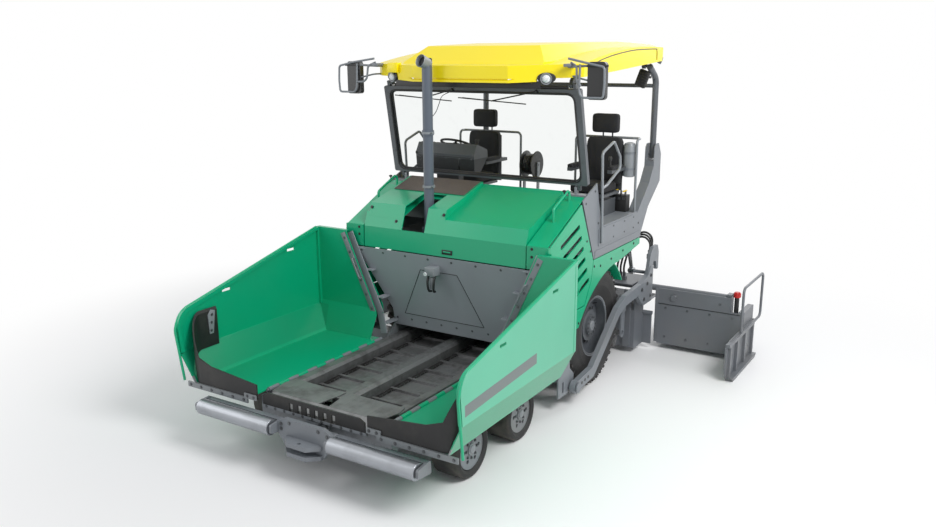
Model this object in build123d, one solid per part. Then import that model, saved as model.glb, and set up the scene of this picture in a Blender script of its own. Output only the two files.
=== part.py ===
from build123d import *
from math import cos, hypot, radians, sin
import os

# Wheeled asphalt paver with an extending screed, in millimetres.
# The machine faces -Y and +X is its left. Sizes along Y count from the rear axle, and
# export() moves every piece so that the origin is the middle of the footprint, on the ground.

os.makedirs("parts", exist_ok=True)

# ---- clearances ----------------------------------------------------------------------
PIN_GAP = 0.3          # radial gap of a shaft or pin in its hole
SEAT_GAP = 0.3         # gap between curved faces that seat on each other
RUN_GAP = 8            # gap beside pieces that slide or swing
PANEL_GAP = 6          # gap round doors and lids

# ---- wheels --------------------------------------------------------------------------
REAR_TYRE_R = 685
REAR_TYRE_W = 375
REAR_BEAD_R = 330
REAR_WHEEL_X = 1057
FRONT_TYRE_R = 270
FRONT_TYRE_W = 300
FRONT_BEAD_R = 190
FRONT_WHEEL_X = 1095
FRONT_AXLES = (-2640, -1740)
KINGPIN_X = 875
KINGPIN_R = 18
STUB_R = 30
REAR_STUB_R = 60

# ---- chassis and conveyor ------------------------------------------------------------
FRAME_X = 745          # inner face of a side plate
FRAME_T = 25
FRAME_FRONT_Y = -3220
FRAME_LOW_Z = 330
HOPPER_DECK_Z = 560    # top of the side plates under the hopper
TUNNEL_REAR_Y = 720
BODY_REAR_Y = 1080
ENGINE_DECK_Z = 1240
TUNNEL_ROOF_Z = 700
CONVEYOR_Z = 490       # top of the floor plates that the flights drag over
BEAM_TOP_Z = 615

# ---- hopper --------------------------------------------------------------------------
HINGE_X = 735
HINGE_Z = 600
HINGE_R = 22
HINGE_PIN_R = 12
WING_X = 1632          # outer face of a wing
WING_FLOOR_Z = 588
WING_FLOOR_X = 1480    # where the floor turns up
WING_BAND_Z = 890      # where the slanted lower band meets the wall
WING_FRONT_Y = -3470
WING_REAR_Y = -1395
WING_FRONT_Z = 1287
WING_REAR_Z = 1790
WING_T = 10
WING_RIM_W = 38
BACK_WALL_Y = -1330
BACK_WALL_TOP_Z = 1605

# ---- engine hood and platform --------------------------------------------------------
HALF_WIDTH = 1275      # outer face of the side panels
PANEL_T = 13
HOOD_FRONT_Y = -1300
CORNER_W = 242         # corner strip of the hood, on the fixed panels
HOOD_HALF = HALF_WIDTH - PANEL_T - CORNER_W
HOOD_T = 12
HOOD_HINGE_Y = -440
HOOD_HINGE_Z = 2262
DECK_Z = 1840
DECK_REAR_Y = 1180
TREAD_T = 5            # raised plate of the operator's place
DOOR_X = HALF_WIDTH + 13   # hinge line of a side door
DOOR_Y = -1272
DOOR_HINGES = (1150, 1740)
STACK_X = -321
STACK_Y = -1030
STACK_R = 55
STACK_TOP_Z = 3680
STACK_FOOT_Z = 1800
SEAT_X = 840
SEAT_Y = 700

# ---- windscreen, roof and posts ------------------------------------------------------
SCREEN_FOOT_Y = -350
SCREEN_FOOT_Z = 2300
LINK_Y = -220          # from the foot pivots to the roof pivots
LINK_Z = 1075
SCREEN_PIN_R = 14
SCREEN_LUG_X = (HALF_WIDTH - 175, HALF_WIDTH - 147)
POST_PIN_R = 16
POST_FOOT_Y = 1640
POST_FOOT_Z = 2460
POST_R = 38
POST_IN_X = HALF_WIDTH - 135       # inner face of a rear post bracket
POST_X = (POST_IN_X + HALF_WIDTH - PANEL_T) / 2 + 4
RAIL_X = (POST_IN_X - 28, POST_IN_X + 8)   # a roof rail
ROOF_HALF = HALF_WIDTH + 2
ROOF_FRONT_Y = -600    # outer corners; the middle stands further forward
ROOF_REAR_Y = 1640
ROOF_T = 14
ROOF_NOSE = (590, -925)    # low front corner of the raised middle
ROOF_LOW_Z = SCREEN_FOOT_Z + LINK_Z + 25     # underside of the raised middle

# ---- screed --------------------------------------------------------------------------
TOW_Y = -700
TOW_Z = 210
TOW_PIN_R = 35
ARM_X = HALF_WIDTH + 10    # inner face of a tow arm
ARM_T = 60
SCREED_FRONT_Y = 1160
SCREED_REAR_Y = 1460
SCREED_HALF = ARM_X - 35
SCREED_LOW_Z = 60
EXT_FRONT_Y = 1520
EXT_REAR_Y = 1950
EXT_IN_X = ARM_X + ARM_T + 75
EXT_OUT_X = 2450
END_PLATE_X = EXT_OUT_X + 50
END_PLATE_T = 50
PORTAL_HALF = SCREED_HALF - 100
TUBE_R = 40
TUBE_Z = 780
PORTAL_Z = 840         # underside of the plate over the guide tubes
TUBE_YS = {"left": 1600, "right": 1740}
AUGER_Y = 930
AUGER_Z = 330
AUGER_R = 185
AUGER_SHAFT_R = 35
LIFT_X = 1080
LIFT_TOP = (1150, 1690)
LIFT_EYE = (1440, 1000)
LIFT_BARREL = 430       # from the top pivot to the gland
LIFT_ROD_START = 330
LIFT_EYE_PLAY = 5       # room for the pin, which rides a slightly different arc
WALK_REAR_Y = 2350
MAST_FITTING_Z = 1230
HOSE_X = (880, 925, 970)    # where the three hoses of one side meet the screed

# ---- push rollers --------------------------------------------------------------------
ROLLER_R = 75
ROLLER_Y = -3520
ROLLER_Z = 445
ROLLER_X = (345, 1265)
ROLLER_SHAFT_R = 20
PUSH_PIVOT_Y = -3320
TOW_JAW_Y = -3548
TOW_JAW_Z = 365        # middle of the upper jaw plate
TOW_JAW_T = 40
TOW_JAW_R = 18
TIE_DOWN = (-3120, 415)
TIE_DOWN_R = 25

# The footprint runs from the push rollers to the rear walkway.
ORIGIN_Y = -(ROLLER_Y - ROLLER_R + WALK_REAR_Y) / 2


# ---- shapes --------------------------------------------------------------------------
def block(x, y, z):
    """Box between the limits x = (low, high), y and z."""
    middle = [(low + high) / 2 for low, high in (x, y, z)]
    size = [high - low for low, high in (x, y, z)]
    return Pos(*middle) * Box(*size)


def outline(points, radius=0):
    """Flat face inside a closed run of points, with every corner rounded by radius."""
    face = make_face(Polyline(*points, close=True))
    return fillet(face.vertices(), radius) if radius else face


def prism_x(face, x0, x1):
    """A Y-Z face run from x0 to x1."""
    return Pos(x0, 0, 0) * extrude(Plane.YZ * face, x1 - x0, dir=(1, 0, 0))


def prism_y(face, y0, y1):
    """An X-Z face run from y0 to y1."""
    return Pos(0, y0, 0) * extrude(Plane.XZ * face, y1 - y0, dir=(0, 1, 0))


def prism_z(face, z0, z1):
    """An X-Y face run from z0 to z1."""
    return Pos(0, 0, z0) * extrude(face, z1 - z0, dir=(0, 0, 1))


def rod(start, end, radius):
    """Round bar between two points."""
    start, end = Vector(*start), Vector(*end)
    return extrude(Plane(start, z_dir=end - start) * Circle(radius), (end - start).length)


def ring_x(x, y, z, outer, inner=0):
    """Round bar or sleeve along X between the limits x, about the line at y, z."""
    sleeve = rod((x[0], y, z), (x[1], y, z), outer)
    return sleeve - rod((x[0], y, z), (x[1], y, z), inner) if inner else sleeve


def tube(points, radius, bend):
    """Bent round bar through the points."""
    path = FilletPolyline(*points, radius=bend)
    return sweep(Plane(path @ 0, z_dir=path % 0) * Circle(radius), path=path)


def offset_line(points, distance):
    """The same open run of points, moved sideways by distance, with mitred corners."""
    moved = []
    for i, (px, py) in enumerate(points):
        ways = []
        for a, b in ((i - 1, i), (i, i + 1)):
            if 0 <= a and b < len(points):
                dx, dy = points[b][0] - points[a][0], points[b][1] - points[a][1]
                ways.append((-dy / hypot(dx, dy), dx / hypot(dx, dy)))
        nx = sum(way[0] for way in ways) / len(ways)
        ny = sum(way[1] for way in ways) / len(ways)
        scale = distance / (nx * nx + ny * ny)
        moved.append((px + nx * scale, py + ny * scale))
    return moved


def sheet_outline(points, thickness):
    """Closed outline of a bent sheet whose one face follows the points."""
    return outline(points + offset_line(points, thickness)[::-1])


def bar_outline(points, half):
    """Closed outline of a bar that follows the points, half as wide to each side."""
    return outline(offset_line(points, half) + offset_line(points, -half)[::-1])


def swept_disc(profile, centre):
    """Solid turned about a line along X through centre, from (along, out) points."""
    return Pos(*centre) * revolve(outline(profile), Axis.X)


def other_side(shape):
    """The same piece on the right of the machine."""
    return mirror(shape, about=Plane.YZ)


def bolt_circle(count, radius, start=0):
    """Angles turned into (a, b) places round a circle."""
    steps = [radians(start + 360 * i / count) for i in range(count)]
    return [(radius * cos(step), radius * sin(step)) for step in steps]


PIECES = {}


def piece(name, *shapes):
    """Keeps the solids of one named piece."""
    PIECES[name] = [solid for shape in shapes for solid in shape.solids()]


def pair(name, shape):
    """Keeps a piece of the left side and its mirror image."""
    piece(name + "_left", shape)
    piece(name + "_right", other_side(shape))


# ---- wheels --------------------------------------------------------------------------
def tyre(radius, bead, width, shoulder, centre):
    half, seat = width / 2, 0.36 * width
    side = bead + 0.45 * (radius - bead)
    outer = [(seat, bead), (seat, bead + 0.045 * radius), (half, side),
             (half - 0.15 * shoulder, radius - shoulder), (half - shoulder, radius)]
    return swept_disc(outer + [(-a, r) for a, r in reversed(outer)], centre)


def rear_rim():
    centre = (REAR_WHEEL_X, 0, REAR_TYRE_R)
    seat = 0.36 * REAR_TYRE_W + SEAT_GAP
    flange = seat + 14
    barrel = REAR_BEAD_R - SEAT_GAP
    # (from, to, inner, outer) rings along the axle
    rings = [(-flange, flange, barrel - 12, barrel), (seat, flange, barrel - 12, barrel + 24),
             (-flange, -seat, barrel - 12, barrel + 24), (24, 42, 150, barrel - 6),
             (-flange, 96, REAR_STUB_R + PIN_GAP, 176), (60, 128, 0, 118)]
    rim = Part()
    for start, end, inner, outer in rings:
        profile = [(start, inner), (end, inner), (end, outer), (start, outer)]
        rim += swept_disc(profile, centre)
    for a, b in bolt_circle(10, 248):
        rim -= ring_x((REAR_WHEEL_X, REAR_WHEEL_X + 60), a, REAR_TYRE_R + b, 22)
    return rim


def front_disc(axle_y):
    centre = (FRONT_WHEEL_X, axle_y, FRONT_TYRE_R)
    seat = 0.36 * FRONT_TYRE_W
    barrel = FRONT_BEAD_R - SEAT_GAP
    rings = [(-seat, seat + 16, barrel - 12, barrel), (seat, seat + 14, 26, barrel - 4),
             (-125, seat + 2, STUB_R + PIN_GAP, 62), (seat - 6, seat + 26, 0, 58)]
    disc = Part()
    for start, end, inner, outer in rings:
        profile = [(start, inner), (end, inner), (end, outer), (start, outer)]
        disc += swept_disc(profile, centre)
    for a, b in bolt_circle(6, 122):
        disc -= ring_x((FRONT_WHEEL_X + 80, FRONT_WHEEL_X + 140), axle_y + a, FRONT_TYRE_R + b, 20)
    return disc


def knuckle(axle_y):
    low, high = FRONT_TYRE_R - 71, FRONT_TYRE_R + 71
    barrel = rod((KINGPIN_X, axle_y, low), (KINGPIN_X, axle_y, high), 34)
    stub = rod((KINGPIN_X, axle_y, FRONT_TYRE_R), (FRONT_WHEEL_X + 70, axle_y, FRONT_TYRE_R), STUB_R)
    arm_end = (KINGPIN_X + 40, axle_y + 150)
    arm = prism_z(bar_outline([(KINGPIN_X, axle_y + 10), arm_end], 15), high - 40, high - 18)
    arm += rod((*arm_end, high - 42), (*arm_end, high - 10), 17)
    pin_hole = rod((KINGPIN_X, axle_y, low), (KINGPIN_X, axle_y, high), KINGPIN_R + PIN_GAP)
    return barrel + stub + arm - pin_hole


def bogie():
    front, rear = FRONT_AXLES
    middle = (front + rear) / 2
    points = [(front - 110, 225), (front - 110, 315), (middle - 160, 372), (middle + 160, 372),
              (rear + 110, 315), (rear + 110, 225), (middle, 205)]
    beam = prism_x(outline(points, 30), FRAME_X + FRAME_T + 20, 835)
    beam += ring_x((FRAME_X + FRAME_T, 850), middle, 290, 62)
    for axle_y in FRONT_AXLES:
        for low, high in ((168, 197), (343, 372)):
            beam += block((820, KINGPIN_X + 30), (axle_y - 42, axle_y + 42), (low, high))
        beam += block((805, 835), (axle_y - 42, axle_y + 42), (168, 372))
        beam += rod((KINGPIN_X, axle_y, 160), (KINGPIN_X, axle_y, 380), KINGPIN_R)
    return beam


def wheels():
    rear_centre = (REAR_WHEEL_X, 0, REAR_TYRE_R)
    pair("rear_tyre", tyre(REAR_TYRE_R, REAR_BEAD_R, REAR_TYRE_W, 60, rear_centre))
    pair("rear_rim", rear_rim())
    for place, axle_y in zip(("front", "middle"), FRONT_AXLES):
        centre = (FRONT_WHEEL_X, axle_y, FRONT_TYRE_R)
        pair(place + "_tyre", tyre(FRONT_TYRE_R, FRONT_BEAD_R, FRONT_TYRE_W, 26, centre))
        pair(place + "_disc", front_disc(axle_y))
        pair(place + "_knuckle", knuckle(axle_y))
    piece("bogie_beams", bogie(), other_side(bogie()))


# ---- chassis -------------------------------------------------------------------------
def hinge_spans(own):
    """Y limits of the hinge knuckles: every other one belongs to the wing."""
    length, first = 130, -3160
    spans = []
    for i in range(13):
        start = first + i * (length + 4)
        if (i % 2 == 1) == own:
            spans.append((start, start + length))
    return spans


def chassis_side():
    points = [(FRAME_FRONT_Y, 360), (FRAME_FRONT_Y, HOPPER_DECK_Z), (-1290, HOPPER_DECK_Z),
              (-1130, TUNNEL_ROOF_Z), (-1130, ENGINE_DECK_Z), (BODY_REAR_Y, ENGINE_DECK_Z),
              (BODY_REAR_Y, 1000), (TUNNEL_REAR_Y + 60, 900), (TUNNEL_REAR_Y, 820),
              (TUNNEL_REAR_Y, 420), (TUNNEL_REAR_Y - 160, FRAME_LOW_Z), (-2900, FRAME_LOW_Z)]
    side = prism_x(outline(points), FRAME_X, FRAME_X + FRAME_T)
    side -= ring_x((FRAME_X - 5, FRAME_X + FRAME_T + 5), *TIE_DOWN, TIE_DOWN_R)
    # final drive of the rear wheel, with the stub that its hub turns on
    side += ring_x((FRAME_X, REAR_WHEEL_X - 160), 0, REAR_TYRE_R, 150)
    side += ring_x((FRAME_X, REAR_WHEEL_X + 30), 0, REAR_TYRE_R, REAR_STUB_R)
    # bogie pivot
    middle = sum(FRONT_AXLES) / 2
    side += ring_x((FRAME_X, FRAME_X + FRAME_T), middle, 290, 70)
    # hinge line of the wing
    for y in hinge_spans(own=False):
        side += rod((HINGE_X, y[0], HINGE_Z), (HINGE_X, y[1], HINGE_Z), HINGE_R)
        side += block((HINGE_X + 11, FRAME_X + FRAME_T), y, (HOPPER_DECK_Z - 4, HINGE_Z - 18))
    spans = hinge_spans(own=False)
    side += rod((HINGE_X, spans[0][0] - 20, HINGE_Z), (HINGE_X, spans[-1][1] + 10, HINGE_Z), HINGE_PIN_R)
    # tow point: a beam out to the slotted plate that carries the arm's pin
    plate = outline([(TOW_Y - 290, 150), (TOW_Y + 80, 150), (TOW_Y + 80, 330), (TOW_Y - 20, 420),
                     (TOW_Y - 60, 760), (TOW_Y - 290, 760)], 20)
    side += block((FRAME_X + FRAME_T, ARM_X - 40), (TOW_Y - 270, TOW_Y - 110), (330, 520))
    side += prism_x(plate, ARM_X - 42, ARM_X - 22)
    for low, high in ((190, 310), (560, 700)):
        side -= block((ARM_X - 60, ARM_X), (TOW_Y - 200, TOW_Y - 160), (low, high))
    side += ring_x((ARM_X - 42, ARM_X + ARM_T + 8), TOW_Y, TOW_Z, TOW_PIN_R)
    side += ring_x((ARM_X + ARM_T + 8, ARM_X + ARM_T + 22), TOW_Y, TOW_Z, 55)
    return side


def chassis_across():
    """Floor pan with its webs and front beam, tunnel roof, and engine deck with the rear plate."""
    across = (-FRAME_X, FRAME_X)
    pan = block(across, (FRAME_FRONT_Y, FRAME_FRONT_Y + 40), (360, HOPPER_DECK_Z))
    pan += block(across, (FRAME_FRONT_Y + 20, TUNNEL_REAR_Y - 160), (FRAME_LOW_Z, FRAME_LOW_Z + 14))
    pan += block(across, (FRAME_FRONT_Y + 20, FRAME_FRONT_Y + 40), (FRAME_LOW_Z, 362))
    for y in (-2900, -2190, -1400, -600, 200):
        pan += block(across, (y, y + 20), (FRAME_LOW_Z, CONVEYOR_Z - 12))
    # lugs and pin for the push roller beam
    for low, high in ((362, 384), (500, 522)):
        pan += block((-70, 70), (PUSH_PIVOT_Y - 45, FRAME_FRONT_Y + 10), (low, high))
    pan += block((-70, 70), (FRAME_FRONT_Y - 20, FRAME_FRONT_Y + 10), (362, 522))
    pan += rod((0, PUSH_PIVOT_Y, 362), (0, PUSH_PIVOT_Y, 522), 28)
    tunnel = block(across, (-1112, TUNNEL_REAR_Y), (TUNNEL_ROOF_Z, TUNNEL_ROOF_Z + 12))
    deck = block(across, (-1130, BODY_REAR_Y), (ENGINE_DECK_Z - 12, ENGINE_DECK_Z))
    deck += block(across, (BODY_REAR_Y - 14, BODY_REAR_Y), (1000, ENGINE_DECK_Z))
    return pan, tunnel, deck


def conveyor():
    """Floor plates with their edge beams, and a ladder of bars and two chains for each lane."""
    inner = FRAME_X - SEAT_GAP
    floor = block((-inner, inner), (FRAME_FRONT_Y + 40, TUNNEL_REAR_Y), (CONVEYOR_Z - 12, CONVEYOR_Z))
    side = outline([(585, CONVEYOR_Z), (inner, CONVEYOR_Z), (inner, 560), (700, 560), (690, BEAM_TOP_Z),
                    (605, BEAM_TOP_Z), (585, 585)])
    middle = outline([(-80, CONVEYOR_Z), (80, CONVEYOR_Z), (80, 585), (50, BEAM_TOP_Z),
                      (-50, BEAM_TOP_Z), (-80, 585)])
    beam = prism_y(side, -3000, TUNNEL_REAR_Y)
    floor += beam + other_side(beam)
    floor += prism_y(middle, -3000, TUNNEL_REAR_Y)
    ladder = Part()
    for y in range(-2930, TUNNEL_REAR_Y - 60, 290):
        ladder += block((92, 573), (y, y + 34), (CONVEYOR_Z + SEAT_GAP, CONVEYOR_Z + 26))
    for x in (110, 530):
        ladder += block((x, x + 24), (-2930, y + 34), (CONVEYOR_Z + SEAT_GAP, CONVEYOR_Z + 18))
    return floor, ladder, other_side(ladder)


def back_wall():
    slope = [(BACK_WALL_Y, BACK_WALL_TOP_Z), (BACK_WALL_Y + 200, TUNNEL_ROOF_Z)]
    sheet = prism_x(sheet_outline(slope, 12), -1140, 1140)
    trapezoid = outline([(-1130, BACK_WALL_TOP_Z), (1130, BACK_WALL_TOP_Z), (FRAME_X, 900),
                         (FRAME_X, 600), (-FRAME_X, 600), (-FRAME_X, 900)])
    wall = sheet & prism_y(trapezoid, -1500, 0)
    # slanted edge plates that the wings close against, on brackets
    edge_y = (BACK_WALL_Y - 12, BACK_WALL_Y)
    edge = prism_y(bar_outline([(795, 870), (1200, BACK_WALL_TOP_Z + 150)], 42), *edge_y)
    edge += prism_y(bar_outline([(FRAME_X + 8, 640), (795, 870)], 42), *edge_y)
    edge += block((748, 768), (BACK_WALL_Y - 2, -1130), (752, 768))
    edge += block((700, 750), (BACK_WALL_Y - 2, -1130), (752, 768))
    for z in (1050, 1350, 1590):
        middle = 795 + (z - 870) * 0.4576
        deep = BACK_WALL_Y + 200 * (BACK_WALL_TOP_Z - z) / (BACK_WALL_TOP_Z - TUNNEL_ROOF_Z) + 10
        edge += block((middle - 120, middle - 45), (BACK_WALL_Y - 2, deep), (z - 8, z + 8))
        edge += block((middle - 50, middle + 38), (BACK_WALL_Y - 2, HOOD_FRONT_Y), (z - 8, z + 8))
    return wall + edge + other_side(edge)


def front_apron():
    strip = block((-620, 620), (FRAME_FRONT_Y - 128, FRAME_FRONT_Y - 116), (532, 562))
    for x in (-480, 480):
        strip += block((x - 30, x + 30), (FRAME_FRONT_Y - 120, FRAME_FRONT_Y), (535, 550))
    # light steel lips over the conveyor's front: one over each lane
    lips = prism_x(sheet_outline([(-3334, 562), (-3200, BEAM_TOP_Z)], 10), -620, 620)
    for side in (1, -1):
        face = outline([(side * 60, -3205), (side * 640, -3205), (side * 688, -2990), (side * 660, -2870),
                        (side * 20, -2870), (side * 20, -2960)])
        lips += prism_z(face, BEAM_TOP_Z, BEAM_TOP_Z + 10)
    return strip + lips


def centre_flap():
    y = (FRAME_FRONT_Y - 146, FRAME_FRONT_Y - 128)
    flap = prism_y(outline([(-600, 535), (600, 535), (600, 650), (540, 680), (-540, 680),
                            (-600, 650)]), *y)
    for i in range(6):
        x = -250 + 100 * i
        flap -= block((x - 22, x + 22), (y[0] - 10, y[1] + 10), (560, 640))
    return flap


# ---- hopper --------------------------------------------------------------------------
def wing_side_face(inset=0):
    points = [(WING_FRONT_Y + 70 + inset, 560), (WING_FRONT_Y + inset, WING_FRONT_Z - inset),
              (WING_REAR_Y - inset, WING_REAR_Z - inset), (WING_REAR_Y - inset, 560)]
    face = outline(points)
    corner = [v for v in face.vertices() if abs(v.Y - WING_FRONT_Z + inset) < 1]
    return fillet(corner, 190 - inset)


def wing():
    section = [(HINGE_X + 22, WING_FLOOR_Z), (WING_FLOOR_X, WING_FLOOR_Z), (WING_X, WING_BAND_Z),
               (WING_X, WING_REAR_Z + 50)]
    shell = prism_y(sheet_outline(section, WING_T), WING_FRONT_Y - 10, WING_REAR_Y)
    shell = shell & prism_x(wing_side_face(), 0, WING_X + 10)
    rim = prism_x(wing_side_face() - wing_side_face(WING_RIM_W), WING_X - WING_RIM_W, WING_X + 4)
    rim -= block((0, 2000), (-3800, -1000), (0, WING_BAND_Z))
    # rear wall: slanted inner edge, lower part sloping forwards to the floor
    wall_line = [(WING_REAR_Y, WING_REAR_Z), (WING_REAR_Y, 930), (WING_REAR_Y - 95, WING_FLOOR_Z)]
    wall = prism_x(sheet_outline(wall_line, -WING_T), 0, WING_X)
    trapezoid = outline([(1205, WING_REAR_Z), (WING_X - 4, WING_REAR_Z), (WING_X - 4, WING_BAND_Z),
                         (WING_FLOOR_X, WING_FLOOR_Z), (835, WING_FLOOR_Z), (790, 860)])
    wall = wall & prism_y(trapezoid, -1600, -1300)
    flange = block((1205, WING_X), (WING_REAR_Y - WING_T, WING_REAR_Y + 42), (WING_REAR_Z - 12, WING_REAR_Z))
    body = shell + rim + wall + flange
    for y in (-2800, -1850):
        slot_z = WING_FRONT_Z + (y - WING_FRONT_Y) * 0.2424 - 75
        body -= block((WING_X - 60, WING_X + 20), (y - 55, y + 55), (slot_z - 14, slot_z + 14))
    # steel strip along the floor's front edge, with the jog towards the middle
    body += block((760, 1575), (WING_FRONT_Y + 62, WING_FRONT_Y + 76), (545, 598))
    body += block((650, 800), (WING_FRONT_Y + 62, WING_FRONT_Y + 76), (590, 640))
    for y in hinge_spans(own=True):
        body += rod((HINGE_X, y[0], HINGE_Z), (HINGE_X, y[1], HINGE_Z), HINGE_R)
        body += block((HINGE_X + 6, HINGE_X + 60), y, (WING_FLOOR_Z, WING_FLOOR_Z + WING_T))
    spans = hinge_spans(own=True)
    body -= rod((HINGE_X, spans[0][0] - 300, HINGE_Z), (HINGE_X, spans[-1][1] + 300, HINGE_Z),
                HINGE_PIN_R + PIN_GAP)
    return body


def wing_flap():
    """Rubber sheet that closes the front of a wing and curls back along its wall."""
    thick = 14
    front = WING_FRONT_Y + 80
    outer = WING_X - WING_T - WING_RIM_W + 20
    plan = outline([(650, front), (outer, front), (outer, front + 420), (outer - thick, front + 420),
                    (outer - thick, front + thick), (650, front + thick)])
    corners = sorted(plan.vertices(), key=lambda v: v.X)[-4:]
    near = [v for v in corners if v.Y < front + 50]
    plan = fillet([v for v in near if v.Y < front + 1], 210)
    inner = [v for v in plan.vertices() if abs(v.X - outer + thick) < 1 and abs(v.Y - front - thick) < 1]
    plan = fillet(inner, 210 - thick)
    sheet = prism_z(plan, WING_FLOOR_Z + WING_T + SEAT_GAP, 1300)
    height = outline([(640, 500), (640, 740), (1250, 800), (1420, 860), (outer + 10, 1270),
                      (outer + 10, 500)])
    band = outline([(WING_FLOOR_X - 30, 500), (outer - 110, 700), (outer + 20, WING_BAND_Z + 20),
                    (outer + 20, 500)])
    return (sheet & prism_y(height, -3600, -2800)) - prism_y(band, -3600, -2800)


# ---- push rollers --------------------------------------------------------------------
def push_beam():
    bar = block((-1290, 1290), (-3437, -3380), (ROLLER_Z - 45, ROLLER_Z + 45))
    nose = [(ROLLER_Y - 50, ROLLER_Z - 40), (ROLLER_Y - 50, ROLLER_Z + 40), (-3390, ROLLER_Z + 60),
            (-3380, ROLLER_Z - 60)]
    for x in (ROLLER_X[0] - 35, ROLLER_X[1] + 10):
        plate = prism_x(outline(nose, 20), x, x + 25)
        bar += plate + other_side(plate)
    shaft = ring_x((ROLLER_X[0] - 35, ROLLER_X[1] + 35), ROLLER_Y, ROLLER_Z, ROLLER_SHAFT_R)
    bar += shaft + other_side(shaft)
    # middle casting on the pivot, with two jaw plates for the eye of a tow bar and its pin
    casting = outline([(-320, 400), (-320, 500), (-230, 545), (230, 545), (320, 500), (320, 400),
                       (210, TOW_JAW_Z - 110), (-210, TOW_JAW_Z - 110)])
    bar += prism_y(casting, -3480, -3440)
    nose = outline([(-210, -3450), (-210, -3500), (-110, TOW_JAW_Y - 45), (110, TOW_JAW_Y - 45),
                    (210, -3500), (210, -3450)], 20)
    for z in (TOW_JAW_Z - 20, TOW_JAW_Z - 110):
        bar += prism_z(nose, z, z + TOW_JAW_T)
    bar -= rod((0, TOW_JAW_Y, 150), (0, TOW_JAW_Y, 420), TOW_JAW_R)
    bar += block((-78, 78), (-3450, PUSH_PIVOT_Y + 42), (388, 496))
    bar -= block((-90, 90), (PUSH_PIVOT_Y - 60, PUSH_PIVOT_Y + 60), (496, 540))
    bar -= rod((0, PUSH_PIVOT_Y, 340), (0, PUSH_PIVOT_Y, 540), 28 + PIN_GAP)
    return bar


def push_roller():
    roller = ring_x(ROLLER_X, ROLLER_Y, ROLLER_Z, ROLLER_R, ROLLER_SHAFT_R + PIN_GAP)
    return fillet([e for e in roller.edges() if e.geom_type == GeomType.CIRCLE and e.radius > 60], 8)


# ---- engine hood ---------------------------------------------------------------------
HOOD_LINE = [(HOOD_FRONT_Y, 1612), (HOOD_FRONT_Y + 8, 1842), (HOOD_FRONT_Y + 66, 1995),
             (HOOD_HINGE_Y, HOOD_HINGE_Z + 12)]
SIDE_LINE = [(HOOD_FRONT_Y, 1612), (HOOD_FRONT_Y + 8, 1850), (-545, 2190), (HOOD_HINGE_Y, 2225)]


def hood_shell(line, x0, x1):
    return prism_x(sheet_outline(line, -HOOD_T), x0, x1)


def engine_hood():
    hood = hood_shell(HOOD_LINE, -HOOD_HALF, HOOD_HALF)
    for x in (-HOOD_HALF, HOOD_HALF - HOOD_T):
        cheek = HOOD_LINE + [(HOOD_HINGE_Y, HOOD_HINGE_Z - 110), (HOOD_FRONT_Y + 160, 1700)]
        hood += prism_x(outline(cheek), x, x + HOOD_T)
    # raised cover on the right, open at the front round the exhaust
    raised_line = [(HOOD_FRONT_Y + 48, 1950), (HOOD_FRONT_Y + 100, 2095), (-820, 2190),
                   (HOOD_HINGE_Y - 20, 2300), (HOOD_HINGE_Y - 20, 2262)]
    raised = prism_x(outline(raised_line + [(-900, 2080)]), 35 - HOOD_HALF, 20)
    raised -= prism_x(outline(offset_line(raised_line[:4], -HOOD_T) + [(HOOD_HINGE_Y - 60, 2240),
                                                                      (-1100, 1980)]), 47 - HOOD_HALF, 8)
    hood += raised
    hood -= block((STACK_X - 190, STACK_X + 110), (HOOD_FRONT_Y - 20, STACK_Y + 200), (1840, 2400))
    hinge = ring_x((-900, -700), HOOD_HINGE_Y, HOOD_HINGE_Z - 16, 16, 10 + PIN_GAP)
    hood += hinge + other_side(hinge)
    return hood


def body_side():
    """Fixed panels of one side: corner strip of the hood, front plate, wheel arch, handle."""
    outer = HALF_WIDTH - PANEL_T
    side = hood_shell(SIDE_LINE, HOOD_HALF + PANEL_T, outer - PANEL_GAP)
    cheek = [(HOOD_FRONT_Y, 1640)] + SIDE_LINE[1:] + [(HOOD_HINGE_Y, 1900), (HOOD_FRONT_Y + 120, 1640)]
    side += prism_x(outline(cheek), HOOD_HALF + PANEL_T, HOOD_HALF + PANEL_T + HOOD_T)
    front = outline([(795, 830), (HALF_WIDTH, 830), (HALF_WIDTH, 1846), (HOOD_HALF + PANEL_T, 1846),
                     (HOOD_HALF + PANEL_T, 1640), (1165, 1640), (795, 960)])
    side += prism_y(front, HOOD_FRONT_Y, HOOD_FRONT_Y + 12)
    handle_x = HALF_WIDTH - 155
    side += tube([(handle_x, -900, 2010), (handle_x, -900, 2160), (handle_x, -540, 2320),
                  (handle_x, -540, 2180)], 14, 40)
    arch = make_face(Polyline((-556, 830), (HOOD_FRONT_Y, 830), (HOOD_FRONT_Y, 1040), (-412, 1040),
                              (-250, 1296), (-212, 1506), (1150, 1506), (1150, 1430), (505, 1345))
                     + ThreePointArc((505, 1345), (-113, 1196), (-556, 830)))
    side += prism_x(arch, outer, HALF_WIDTH)
    liner = ring_x((FRAME_X + FRAME_T + 15, outer), 0, REAR_TYRE_R, 772, 760)
    side += liner - block((0, 2000), (-900, 900), (-200, 1080))
    side += block((FRAME_X + FRAME_T, FRAME_X + FRAME_T + 20), (-640, 640), (1080, ENGINE_DECK_Z))
    for z in DOOR_HINGES:
        for start, end in ((z - 50, z - 31), (z + 31, z + 50)):
            side += rod((DOOR_X, DOOR_Y, start), (DOOR_X, DOOR_Y, end), 11)
            side += block((HALF_WIDTH - 2, DOOR_X), (DOOR_Y - 11, DOOR_Y), (start, end))
        side += rod((DOOR_X, DOOR_Y, z - 50), (DOOR_X, DOOR_Y, z + 50), 6)
    side += block((outer, HALF_WIDTH), (HOOD_FRONT_Y, DOOR_Y), (1030, 1846))
    return side


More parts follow.
